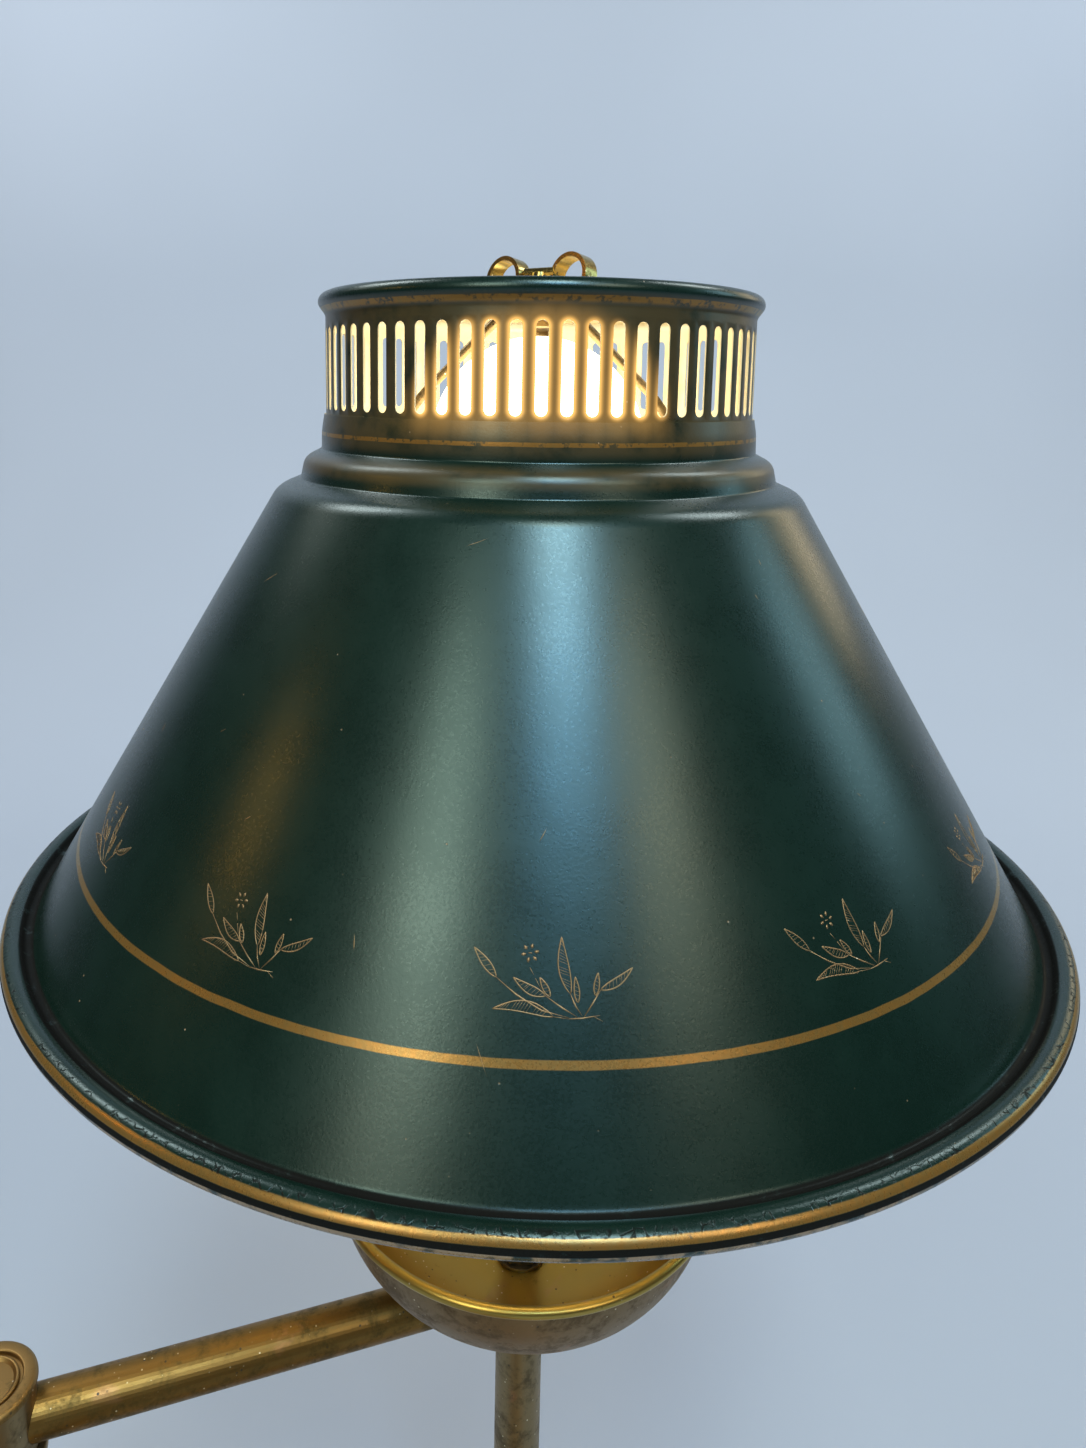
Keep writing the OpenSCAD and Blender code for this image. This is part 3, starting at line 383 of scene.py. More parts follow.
@dataclass(frozen=True)
class TolePaint:
    """Old satin paint on sheet metal, lined with gold size and browned in places, with a painted
    glow round the slots and, where zones are given, a dark matte mix of dirt and painted shade.
    """

    name: str
    axis: Point
    glow: SlotGlow
    stripes: tuple[Zone, ...] = ()
    faded: tuple[Zone, ...] = ()
    # Dirt and painted shade: dark matte zones in the groove and on the lower side of the rim.
    grime_and_shade: tuple[Zone, ...] = ()
    browned: tuple[Zone, ...] = ()
    crazed: tuple[Zone, ...] = ()
    bared: tuple[Zone, ...] = ()
    green: Colour = (0.0034, 0.0150, 0.0098)
    deep: Colour = (0.0022, 0.0110, 0.0070)
    varnish: Colour = (0.67, 0.93, 0.94)
    gold: Colour = (0.28, 0.162, 0.043)
    bronze: Colour = (0.33, 0.165, 0.036)
    brown: Colour = (0.068, 0.045, 0.016)
    bare: Colour = (0.31, 0.21, 0.12)
    dirt_and_shade: Colour = (0.006, 0.005, 0.004)
    roughness: float = 0.285
    browning: float = 0.82
    baring: float = 0.9
    soil_and_shade: float = 0.92
    cracking: float = 0.8
    metal: float = 0.6

    def _where(self, zones: Sequence[Zone], radius: Link, height: Link) -> Link | float:
        """Mask of several zones together.

        Args:
            zones: The zones.
            radius: Distance from the lamp's axis.
            height: Height, which may waver.

        Returns:
            The mask, or 0 where there are no zones.
        """
        whole: Link | float = 0.0
        for zone in zones:
            whole = zone.mask(radius, height).most(whole)
        return whole

    def material(self) -> Material:
        """Build the paint."""
        sh = Shader(self.name)
        at = sh.place(self.axis)
        x, y, z = sh.parts(at)
        radius = (x * x + y * y) ** 0.5
        mottle = sh.noise(at, 26.0, 4.0, 0.6)
        grain = sh.noise(at, 0.8, 2.0, 0.6)
        wear = sh.noise(at, 3.2, 5.0, 0.7)
        level = z + (sh.noise(at, 9.0, 1.0) - 0.5) * 0.3

        browned = sh.noise(at, 15.0, 4.0, 0.65).ramp(0.22, 0.55)
        browned = browned * self._where(self.browned, radius, z)
        lined = wear.ramp(0.24, 0.36) * self._where(self.stripes, radius, level)
        faded = wear.ramp(0.38, 0.5) * self._where(self.faded, radius, level)
        bared = sh.noise(at, 5.0, 3.0).ramp(0.36, 0.54) * self._where(self.bared, radius, level)
        chips = sh.specks(at, 7.0, 0.045) * sh.noise(at, 30.0, 2.0).ramp(0.50, 0.60)
        cracks = sh.cells(at, 0.36, "DISTANCE_TO_EDGE").ramp(0.09, 0.03)
        cracks = cracks * self._where(self.crazed, radius, z) * wear.ramp(0.42, 0.58)

        colour = sh.mix(mottle.ramp(0.35, 0.7), self.deep, self.green)
        colour = sh.mix(browned * self.browning, colour, self.brown)
        tone = sh.mix(sh.noise(at, 1.4, 3.0).ramp(0.3, 0.7), self.bronze, self.gold)
        colour = sh.mix(lined, colour, sh.mix(wear.ramp(0.5, 0.72), tone, self.gold))
        colour = sh.mix(faded, colour, sh.mix(wear.ramp(0.56, 0.66), self.bronze, self.gold))
        colour = sh.mix(bared * self.baring, colour, self.bare)
        colour = sh.mix(chips, colour, self.bare)

        peel = sh.bump(sh.noise(at, 0.75, 3.0, 0.6), 0.026)
        peel = sh.bump(sh.noise(at, 30.0, 2.0), 0.22, peel, 0.5)
        peel = sh.bump(chips + cracks, -0.05, peel)
        rough = grain.about(self.roughness, 0.12) + (mottle - 0.5) * 0.1 + browned * 0.06
        paint = sh.principled(
            Base_Color=colour, Roughness=rough, Normal=peel, Specular_IOR_Level=0.6,
            Specular_Tint=self.varnish, Metallic=lined.most(faded) * self.metal,
            # Painted glow of the slots in front of the bulb, as emission.
            Emission_Color=self.glow.light(sh, x, y, z), Emission_Strength=1.0,
        )
        if not self.grime_and_shade:
            return sh.done(paint)
        # Painted shade: a dark matte surface that is dirt and shade in the groove and only shade
        # on the rim's lower side; the paint's cracks darken with it.
        soot_and_shade = sh.principled(Base_Color=self.dirt_and_shade, Roughness=0.9, Specular_IOR_Level=0.1)
        dirt_and_shade_patches = sh.noise(at, 6.0, 6.0, 0.75).ramp(0.24, 0.44) * self.soil_and_shade
        soot_and_shade_mask = (dirt_and_shade_patches * self._where(self.grime_and_shade, radius, z)).most(cracks * self.cracking)
        return sh.done(sh.node("ShaderNodeMixShader", {0: soot_and_shade_mask, 1: paint, 2: soot_and_shade}))


@dataclass(frozen=True)
class Enamel:
    """Warm cream lacquer on the inside of the shade."""

    name: str = "cream_enamel"
    cream: Colour = (0.78, 0.66, 0.40)
    stain: Colour = (0.52, 0.36, 0.14)

    def material(self) -> Material:
        """Build the lacquer."""
        sh = Shader(self.name)
        at = sh.place()
        tint = sh.noise(at, 14.0, 4.0, 0.6).ramp(0.42, 0.8)
        return sh.surfaced(
            Base_Color=sh.mix(tint * 0.5, self.cream, self.stain),
            Roughness=sh.noise(at, 2.0, 2.0).about(0.42, 0.2),
            Normal=sh.bump(sh.noise(at, 1.8, 2.0), 0.02),
        )


@dataclass(frozen=True)
class AntiqueBrass:
    """Lacquered brass that has dulled, with stains, specks and fine scratches."""

    name: str
    metal: Colour = (0.29, 0.180, 0.064)
    dull: Colour = (0.110, 0.078, 0.032)
    roughness: float = 0.46
    age: float = 0.66
    stain: Colour = (0.055, 0.04, 0.02)
    copper: Colour = (0.55, 0.26, 0.14)
    fleck: Colour = (0.85, 0.74, 0.52)
    along: tuple[float, float, float] = (1.0, 1.0, 1.0)

    def material(self) -> Material:
        """Build the brass."""
        sh = Shader(self.name)
        at = sh.place()
        cloud = sh.noise(sh.stretched(at, self.along), 10.0, 5.0, 0.66, 0.4)
        fine = sh.noise(at, 1.6, 4.0, 0.7)
        tarnish = cloud * 0.75 + fine * 0.25
        tarnish = tarnish.ramp(0.72 - 0.36 * self.age, 0.86 - 0.3 * self.age)
        red = sh.noise(at, 22.0, 3.0, 0.6, 1.0).ramp(0.60, 0.72)
        spots = sh.specks(at, 3.4, 0.16) * sh.noise(at, 12.0, 2.0).ramp(0.50, 0.60)
        flecks = sh.specks(sh.stretched(at, (1.13, 1.13, 1.13)), 3.4, 0.12)
        flecks = flecks * sh.noise(at, 17.0, 2.0).ramp(0.42, 0.56)

        colour = sh.mix(tarnish * 0.85, self.metal, self.dull)
        colour = sh.mix(red * 0.25, colour, self.copper)
        colour = sh.mix(spots * 0.9, colour, self.stain)
        colour = sh.mix(flecks, colour, self.fleck)
        hair = sh.noise(sh.stretched(at, (1.0, 1.0, 0.06)), 0.6, 2.0, 0.6)
        normal = sh.bump(spots, -0.04, sh.bump(fine, 0.014, sh.bump(hair, 0.006)))
        return sh.surfaced(
            Base_Color=colour, Roughness=fine.about(self.roughness, 0.14) + tarnish * 0.16,
            Metallic=1.0 - spots * 0.6 - flecks * 0.5, Normal=normal,
        )


@dataclass(frozen=True)
class Mottled:
    """Two colours in soft clouds over a fine grain, as plastic or fibre has them.

    A noise is given by its size, detail, roughness and warp, as far as they are needed.
    """

    name: str
    colour: Colour
    shade: Colour
    roughness: float = 0.5
    depth: float = 0.03
    cloud: tuple[float, ...] = (9.0, 4.0)
    blend: Point = (0.35, 0.7)
    grain: tuple[float, ...] = (0.8, 3.0, 0.6)
    swing: float = 0.2

    def more(self) -> dict[str, object]:
        """Sockets that only this kind of finish sets."""
        return {}

    def material(self) -> Material:
        """Build the finish."""
        sh = Shader(self.name)
        at = sh.place()
        fine = sh.noise(at, *self.grain)
        cloud = fine if self.cloud == self.grain else sh.noise(at, *self.cloud)
        return sh.surfaced(
            Base_Color=sh.mix(cloud.ramp(*self.blend), self.shade, self.colour),
            Roughness=fine.about(self.roughness, self.swing) if self.swing else self.roughness,
            Normal=sh.bump(fine, self.depth), **self.more(),
        )


@dataclass(frozen=True)
class PlainMetal(Mottled):
    """Zinc-plated steel, cast iron or rolled aluminium."""

    roughness: float = 0.4
    depth: float = 0.02
    cloud: tuple[float, ...] = (7.5, 4.0, 0.6)
    blend: Point = (0.3, 0.7)
    grain: tuple[float, ...] = (1.0, 3.0, 0.65)
    metallic: float = 1.0

    def more(self) -> dict[str, object]:
        """Share of the metal in the surface."""
        return {"Metallic": self.metallic}


@dataclass(frozen=True)
class Felt(Mottled):
    """Pressed green felt."""

    name: str = "green_felt"
    colour: Colour = (0.02, 0.075, 0.04)
    shade: Colour = (0.008, 0.035, 0.02)
    roughness: float = 0.95
    depth: float = 0.25
    cloud: tuple[float, ...] = (0.5, 5.0, 0.75, 1.5)
    blend: Point = (0.35, 0.65)
    grain: tuple[float, ...] = (0.5, 5.0, 0.75, 1.5)
    swing: float = 0.0

    def more(self) -> dict[str, object]:
        """Nap of the felt."""
        return {"Sheen_Weight": 0.4, "Sheen_Roughness": 0.5}


@dataclass(frozen=True)
class LitGlass(Mottled):
    """Frosted white bulb glass, lit from inside, or the clear glass of its stem."""

    roughness: float = 0.3
    depth: float = 0.004
    cloud: tuple[float, ...] = (0.7, 2.0)
    blend: Point = (0.3, 0.7)
    grain: tuple[float, ...] = (0.7, 2.0)
    swing: float = 0.1
    glow: Colour = (1.0, 0.84, 0.56)
    strength: float = 5.5

    def more(self) -> dict[str, object]:
        """Light of the glass."""
        return {"Emission_Color": self.glow, "Emission_Strength": self.strength}


class Finish(Enum):
    """Finishes that need none of the lamp's sizes.

    A brass is given by its metal, its dull tone, its roughness and its age.
    """

    ENAMEL = Enamel()
    GILT = AntiqueBrass("gilt_line", (0.40, 0.27, 0.14), (0.19, 0.125, 0.065), 0.5, 0.5)
    BRASS = AntiqueBrass("antique_brass", along=(1.0, 1.0, 0.5))
    ARM_BRASS = AntiqueBrass(
        "arm_brass", (0.235, 0.134, 0.036), (0.112, 0.080, 0.027), 0.42, 0.72,
        stain=(0.03, 0.024, 0.012), fleck=(0.66, 0.54, 0.32),
    )
    DARK_BRASS = AntiqueBrass("brown_brass", (0.27, 0.195, 0.095), (0.13, 0.095, 0.05), 0.42, 0.7)
    CUP_OUTSIDE = AntiqueBrass(
        "cup_brown", (0.27, 0.185, 0.095), (0.155, 0.105, 0.055), 0.48, 0.75
    )
    CUP_INSIDE = AntiqueBrass("cup_satin", (0.46, 0.322, 0.078), (0.235, 0.172, 0.040), 0.34, 0.35)
    BRIGHT_BRASS = AntiqueBrass(
        "polished_brass", (0.40, 0.30, 0.10), (0.16, 0.125, 0.045), 0.22, 0.5
    )
    STEEL = PlainMetal("zinc_steel", (0.50, 0.50, 0.52), (0.33, 0.32, 0.30))
    OILED_STEEL = PlainMetal("oiled_steel", (0.16, 0.13, 0.085), (0.08, 0.065, 0.045))
    IRON = PlainMetal(
        "cast_iron", (0.045, 0.043, 0.04), (0.02, 0.018, 0.016), 0.7, 0.3,
        cloud=(9.0, 4.0, 0.6), grain=(1.2, 3.0, 0.65), metallic=0.3,
    )
    ALUMINIUM = PlainMetal("cap_aluminium", (0.75, 0.75, 0.76), (0.6, 0.6, 0.6), roughness=0.3)
    BAKELITE = Mottled("black_bakelite", (0.02, 0.016, 0.014), (0.01, 0.008, 0.007), 0.35)
    FIBRE = Mottled("fibre_liner", (0.34, 0.24, 0.14), (0.24, 0.16, 0.09), 0.8, 0.1)
    WIRE = Mottled("wire_insulation", (0.42, 0.30, 0.12), (0.30, 0.21, 0.08), 0.45)
    FELT = Felt()
    BULB = LitGlass("bulb_frost", (0.95, 0.94, 0.90), (0.874, 0.8648, 0.828))
    STEM_GLASS = LitGlass(
        "stem_glass", (0.85, 0.88, 0.86), (0.782, 0.8096, 0.7912), 0.1,
        glow=(1.0, 0.8, 0.5), strength=0.5,
    )

    @cached_property
    def material(self) -> Material:
        """The finish's material, built when it is first asked for."""
        return self.value.material()


# ------------------------------------------------------------------ line tools


def arc(centre: Point, radius: float, start: float, end: float, steps: int) -> list[Point]:
    """Points of an arc from one angle to another, in degrees."""
    turns = [math.radians(start + (end - start) * i / steps) for i in range(steps + 1)]
    return [(centre[0] + radius * math.cos(a), centre[1] + radius * math.sin(a)) for a in turns]


def tidy(line: Sequence[Point], gap: float = 0.01) -> list[Point]:
    """Line without points that repeat the one before."""
    kept = [line[0]]
    for p in line[1:]:
        if math.dist(p, kept[-1]) > gap:
            kept.append(p)
    return kept


def held(line: Sequence[Point], hold: float, long: float, step: float) -> list[Point]:
    """Line with extra points near the ends of its long runs, so that curves stay crisp.

    Args:
        line: The points.
        hold: How far from a corner the extra points stand.
        long: Length from which a run gets them.
        step: Longest run left without a point in between.

    Returns:
        The longer line.
    """
    made = [line[0]]
    for a, b in zip(line, line[1:]):
        reach = math.dist(a, b)
        if reach > long:
            marks = [hold / reach]
            count = max(1, round(reach / step))
            marks += [i / count for i in range(1, count)]
            marks.append(1 - hold / reach)
            made += [(a[0] + (b[0] - a[0]) * t, a[1] + (b[1] - a[1]) * t) for t in marks]
        made.append(b)
    return made


def beside(line: Sequence[Point], gap: float) -> list[Point]:
    """Line moved to its left, square to its runs.

    Args:
        line: The points.
        gap: How far the line moves.

    Returns:
        As many points.
    """
    sides = []
    for a, b in zip(line, line[1:]):
        reach = math.dist(a, b)
        sides.append((-(b[1] - a[1]) / reach, (b[0] - a[0]) / reach))
    made = []
    for i, p in enumerate(line):
        n1, n2 = sides[max(i - 1, 0)], sides[min(i, len(sides) - 1)]
        share = gap / max(0.2, 1 + n1[0] * n2[0] + n1[1] * n2[1])
        made.append((p[0] + share * (n1[0] + n2[0]), p[1] + share * (n1[1] + n2[1])))
    return made


def sheet(line: Sequence[Point], gap: float) -> list[Point]:
    """Closed outline of sheet metal laid to the left of a line."""
    clean = tidy(line)
    return clean + beside(clean, gap)[::-1]


# ------------------------------------------------------------------ mesh tools


def finish_mesh(
    mesh: BMesh, name: str, finishes: Sequence[Material], crease: float = 32.0
) -> Object:
    """Turn a bmesh into a smooth object at the origin.

    Args:
        mesh: Geometry in metres. It is freed.
        name: Name of the object.
        finishes: Materials, in the order of the faces' material numbers.
        crease: Angle from which an edge stays sharp, in degrees.

    Returns:
        The object.
    """
    data = bpy.data.meshes.new(name)
    mesh.to_mesh(data)
    mesh.free()
    data.shade_smooth()
    data.set_sharp_from_angle(angle=math.radians(crease))
    for finish in finishes:
        data.materials.append(finish)
    made = bpy.data.objects.new(name, data)
    bpy.context.scene.collection.objects.link(made)
    return made


def skin(mesh: BMesh, first: Sequence[BMVert], second: Sequence[BMVert], slot: int = 0) -> None:
    """Close the gap between two rings of vertices.

    Args:
        mesh: Mesh that has them.
        first: One ring, or a single vertex.
        second: The other, likewise.
        slot: Material number of the new faces.
    """
    count = max(len(first), len(second))
    for k in range(count):
        n = (k + 1) % count
        corners = [
            first[k % len(first)], first[n % len(first)],
            second[n % len(second)], second[k % len(second)],
        ]
        face = mesh.faces.new(list(dict.fromkeys(corners)))
        face.material_index = slot


def strip(
    mesh: BMesh, first: Sequence[BMVert], second: Sequence[BMVert], flip: bool = False
) -> None:
    """Join two open rows of vertices with quads, which flip turns over."""
    for corners in zip(first, first[1:], second[1:], second):
        mesh.faces.new(corners[::-1] if flip else corners)


@dataclass
class Turned:
    """A closed outline turned about an upright axis."""

    name: str
    outline: Sequence[Point]
    axis: Point
    segments: int = 128
    base: float = 0.0
    split: Callable[[int, Point], int] | None = None

    def build(self, *finishes: Material) -> Object:
        """Make the piece with its finishes."""
        mesh = bmesh.new()
        rings = [self._ring(mesh, p) for p in self.outline]
        count = len(rings)
        for i in range(count):
            a, b = rings[i], rings[(i + 1) % count]
            if len(a) == len(b) == 1:
                continue
            p, q = self.outline[i], self.outline[(i + 1) % count]
            between = ((p[0] + q[0]) / 2, (p[1] + q[1]) / 2)
            skin(mesh, a, b, self.split(i, between) if self.split else 0)
        bmesh.ops.recalc_face_normals(mesh, faces=mesh.faces)
        return finish_mesh(mesh, self.name, finishes)

    def _ring(self, mesh: BMesh, p: Point) -> list[BMVert]:
        """Vertices of one turn of a point."""
        z = (p[1] + self.base) * MM
        if p[0] < 1e-6:
            return [mesh.verts.new((self.axis[0] * MM, self.axis[1] * MM, z))]
        made = []
        for k in range(self.segments):
            a = 2 * math.pi * k / self.segments
            x = self.axis[0] + p[0] * math.cos(a)
            y = self.axis[1] + p[0] * math.sin(a)
            made.append(mesh.verts.new((x * MM, y * MM, z)))
        return made


def settle(piece: Object, body: Body, slot: str, *nodes: str) -> Object:
    """Join a finished piece to its body, and hide the solids that it stands for.

    Args:
        piece: The piece.
        body: Body that it moves with.
        slot: Not used.
        nodes: Solids that it stands for.

    Returns:
        The piece.
    """
    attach(piece, body.value)
    if nodes:
        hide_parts(*nodes)
    LOG.info("%s: %d faces on %s", piece.name, len(piece.data.polygons), body.value)
    return piece


def carried(frame: dict, node: str, slot: str, finish: Material, edge: float) -> None:
    """Stand a smooth copy of a solid in for it.

    Args:
        frame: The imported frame.
        node: Name of the solid.
        slot: Slot of the record.
        finish: Its material.
        edge: Width of a small bevel on the sharp edges, in millimetres.
    """
    crease = 28.0
    mesh = bmesh.new()
    mesh.from_mesh(frame["nodes"][node].data)
    bmesh.ops.remove_doubles(mesh, verts=mesh.verts, dist=1e-6)
    bmesh.ops.recalc_face_normals(mesh, faces=mesh.faces)
    made = finish_mesh(mesh, node + "_dressed", [finish], crease)
    if edge:
        bevel = made.modifiers.new("edge", "BEVEL")
        bevel.width = edge * MM
        bevel.segments = 2
        bevel.limit_method = "ANGLE"
        bevel.angle_limit = math.radians(crease + 4)
        bevel.harden_normals = True
    settle(made, Body(frame["nodes"][node]["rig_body"]), slot, node)


# ------------------------------------------------------------- Geometry Nodes


class Pattern(Nodes):
    """A Geometry Nodes group with named inputs, used once and then made real."""

    def __init__(self, name: str, **inputs: str) -> None:
        """Start a group.

        Args:
            name: Name of the group.
            inputs: Name of each input after the geometry, and what its socket takes.
        """
        super().__init__(bpy.data.node_groups.new(name, "GeometryNodeTree"))
        face = self.tree.interface
        for way in ("OUTPUT", "INPUT"):
            face.new_socket("Geometry", in_out=way, socket_type="NodeSocketGeometry")
        for key, kind in inputs.items():
            face.new_socket(key, in_out="INPUT", socket_type="NodeSocket" + kind)
        self.given = self.tree.nodes.new("NodeGroupInput")

    def math(self, operation: str, *values: object) -> NodeSocket:
        """Number made from numbers."""
        return self.node("ShaderNodeMath", dict(enumerate(values)), operation=operation)

    def vector(self, operation: str, *values: object, output: int = 0) -> NodeSocket:
        """Vector or, as output 1, number made from vectors."""
        inputs = dict(enumerate(values))
        return self.node("ShaderNodeVectorMath", inputs, output, operation=operation)

    def put(self, name: str) -> NodeSocket:
        """One of the group's inputs."""
        return self.given.outputs[name]

    def copies(self, points: object, cell: object, turn: object) -> NodeSocket:
        """Copies of a cell on points, each turned."""
        inputs = {"Points": points, "Instance": cell, "Rotation": turn}
        return self.node("GeometryNodeInstanceOnPoints", inputs)

    def painted(self, geometry: object, finish: object, where: object = True) -> NodeSocket:
        """Geometry with a material on the chosen faces."""
        inputs = {"Geometry": geometry, "Selection": where, "Material": finish}
        return self.node("GeometryNodeSetMaterial", inputs)

    def run(self, piece: Object, geometry: NodeSocket, **values: object) -> Object:
        """Close the group, apply it to an object and keep the result as its mesh.

        Args:
            piece: The object.
            geometry: Result of the group.
            values: Value of each named input.

        Returns:
            The object, with no modifier left on it.
        """
        self.feed(self.tree.nodes.new("NodeGroupOutput").inputs[0], geometry)
        modifier = piece.modifiers.new(self.tree.name, "NODES")
        modifier.node_group = self.tree
        for item in self.tree.interface.items_tree:
            if item.in_out == "INPUT" and item.name in values:
                modifier[item.identifier] = values[item.name]
        bpy.context.view_layer.update()
        seen = bpy.context.evaluated_depsgraph_get()
        made = bpy.data.meshes.new_from_object(piece.evaluated_get(seen))
        piece.modifiers.clear()
        piece.data = made
        return piece


def ring_of(
    cell: Object, name: str, count: int, start: float, axis: Point,
    outside: Material, inside: Material, weld: float = 0.0, walls: float = 0.0,
) -> Object:
    """Repeat a cell round an upright axis.

    Args:
        cell: The cell, built about the origin.
        name: Name of the ring.
        count: Number of cells.
        start: Turn of the first cell, in degrees.
        axis: Place of the axis in millimetres.
        outside: Finish of the faces that look outwards.
        inside: Finish of the faces that look at the axis, and of the cut edges below walls.
        weld: Distance below which the vertices of neighbours join, in metres.
        walls: Height below which the cut edges have the inner finish, in metres.

    Returns:
        The ring as one mesh.
    """
    group = Pattern(
        name, Count="Int", Start="Float", Axis="Vector", Weld="Float", Walls="Float",
        Outside="Material", Inside="Material",
    )
    put = group.put
    turned_in, cut_raise = -0.35, 0.65
    points = group.node("GeometryNodePoints", {"Count": put("Count"), "Position": put("Axis")})
    step = group.math("DIVIDE", 2 * math.pi, put("Count"))
    turn = group.math("MULTIPLY_ADD", group.node("GeometryNodeInputIndex"), step, put("Start"))
    turn = group.node("ShaderNodeCombineXYZ", {"Z": turn})
    ring = group.copies(points, put("Geometry"), turn)
    ring = group.node("GeometryNodeRealizeInstances", {"Geometry": ring})
    ring = group.node("GeometryNodeMergeByDistance", {"Geometry": ring, "Distance": put("Weld")})
    place = group.node("GeometryNodeInputPosition")
    out = group.vector("SUBTRACT", place, put("Axis"))
    out = group.vector("NORMALIZE", group.vector("MULTIPLY", out, (1.0, 1.0, 0.0)))
    facing = group.vector("DOT_PRODUCT", out, group.node("GeometryNodeInputNormal"), output=1)
    cut = group.node("ShaderNodeSeparateXYZ", {0: place}, "Z")
    cut = group.math("LESS_THAN", cut, put("Walls"))
    limit = group.math("MULTIPLY_ADD", cut, cut_raise, turned_in)
    inward = group.math("LESS_THAN", facing, limit)
    ring = group.painted(group.painted(ring, put("Outside")), put("Inside"), inward)
    cell.name = name
    return group.run(
        cell, ring, Count=count, Start=math.radians(start), Axis=(axis[0] * MM, axis[1] * MM, 0.0),
        Weld=weld, Walls=walls, Outside=outside, Inside=inside,
    )


@dataclass(frozen=True)
class Scratches:
    """Short scratches strewn over the slope of the cone."""

    name: str = "paint_scratches"
    density: float = 420.0
    seed: int = 11
    rise: float = 0.51
    spread: float = 0.03
    spin: Point = (-1.2, 1.9)
    spin_seed: int = 3
    smallest: tuple[float, float, float] = (0.25, 0.6, 1.0)
    largest: tuple[float, float, float] = (1.3, 1.2, 1.0)
    size_seed: int = 5
    widths: tuple[float, ...] = (0.0, 0.11, 0.13, 0.08, 0.0)
    step: float = 1.5
    waver: float = 0.12
    crest: float = 0.035
    root: float = -0.05

    def stroke(self) -> Object:
        """One scratch, lying in XY about the origin."""
        mesh = bmesh.new()
        rows = []
        for i, w in enumerate(self.widths):
            x, y = (i - len(self.widths) // 2) * self.step, self.waver * math.cos(i)
            section = ((y + w, 0.0), (y, self.crest), (y - w, 0.0), (y, self.root))
            spots = section if w else ((y, 0.0),)
            rows.append([mesh.verts.new((x * MM, a * MM, h * MM)) for a, h in spots])
        for a, b in zip(rows, rows[1:]):
            skin(mesh, a, b)
        bmesh.ops.recalc_face_normals(mesh, faces=mesh.faces)
        return finish_mesh(mesh, "scratch_cell", [], 180.0)

    def build(self, surface: Object, finish: Material) -> Object:
        """Strew the scratches over the outer side of a surface.

        Args:
            surface: The surface that carries them.
            finish: Material of the scratches.

        Returns:
            The scratches as one mesh.
        """
        group = Pattern(
            self.name, Stroke="Object", Density="Float", Seed="Int", Finish="Material"
        )
        facing = group.node("GeometryNodeInputNormal")
        rising = group.node("ShaderNodeSeparateXYZ", {0: facing}, "Z")
        inputs = {
            "Mesh": group.put("Geometry"), "Density": group.put("Density"),
            "Selection": group.math("COMPARE", rising, self.rise, self.spread),
            "Seed": group.put("Seed"),
        }
        points = group.node("GeometryNodeDistributePointsOnFaces", inputs, "Points")
        mark = group.node("GeometryNodeObjectInfo", {"Object": group.put("Stroke")}, "Geometry")
        marks = group.copies(points, mark, points.node.outputs["Rotation"])
        low, high = self.spin
        for kind, key, least, most, seed in (
            ("Rotate", "Rotation", (0.0, 0.0, low), (0.0, 0.0, high), self.spin_seed),
            ("Scale", "Scale", self.smallest, self.largest, self.size_seed),
        ):
            chance = group.node(
                "FunctionNodeRandomValue", {0: least, 1: most, "Seed": seed},
                data_type="FLOAT_VECTOR",
            )
            marks = group.node(f"GeometryNode{kind}Instances", {"Instances": marks, key: chance})
        marks = group.node("GeometryNodeRealizeInstances", {"Geometry": marks})
        marks = group.painted(marks, group.put("Finish"))
        holder = bpy.data.objects.new(self.name, surface.data.copy())
        bpy.context.scene.collection.objects.link(holder)
        stroke = self.stroke()
        made = group.run(
            holder, marks, Stroke=stroke, Density=self.density, Seed=self.seed, Finish=finish
        )
        bpy.data.objects.remove(stroke)
        return made


# ----------------------------------------------------------------------- sizes


def middle(node: str) -> Vector:
    """Centre of a solid, in millimetres."""
    low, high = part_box(node)
    return (low + high) / (2 * MM)


def lowest(node: str) -> float:
    """Height of a solid's lowest point, in millimetres."""
    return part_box(node)[0].z / MM


def highest(node: str) -> float:
    """Height of a solid's highest point, in millimetres."""
    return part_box(node)[1].z / MM


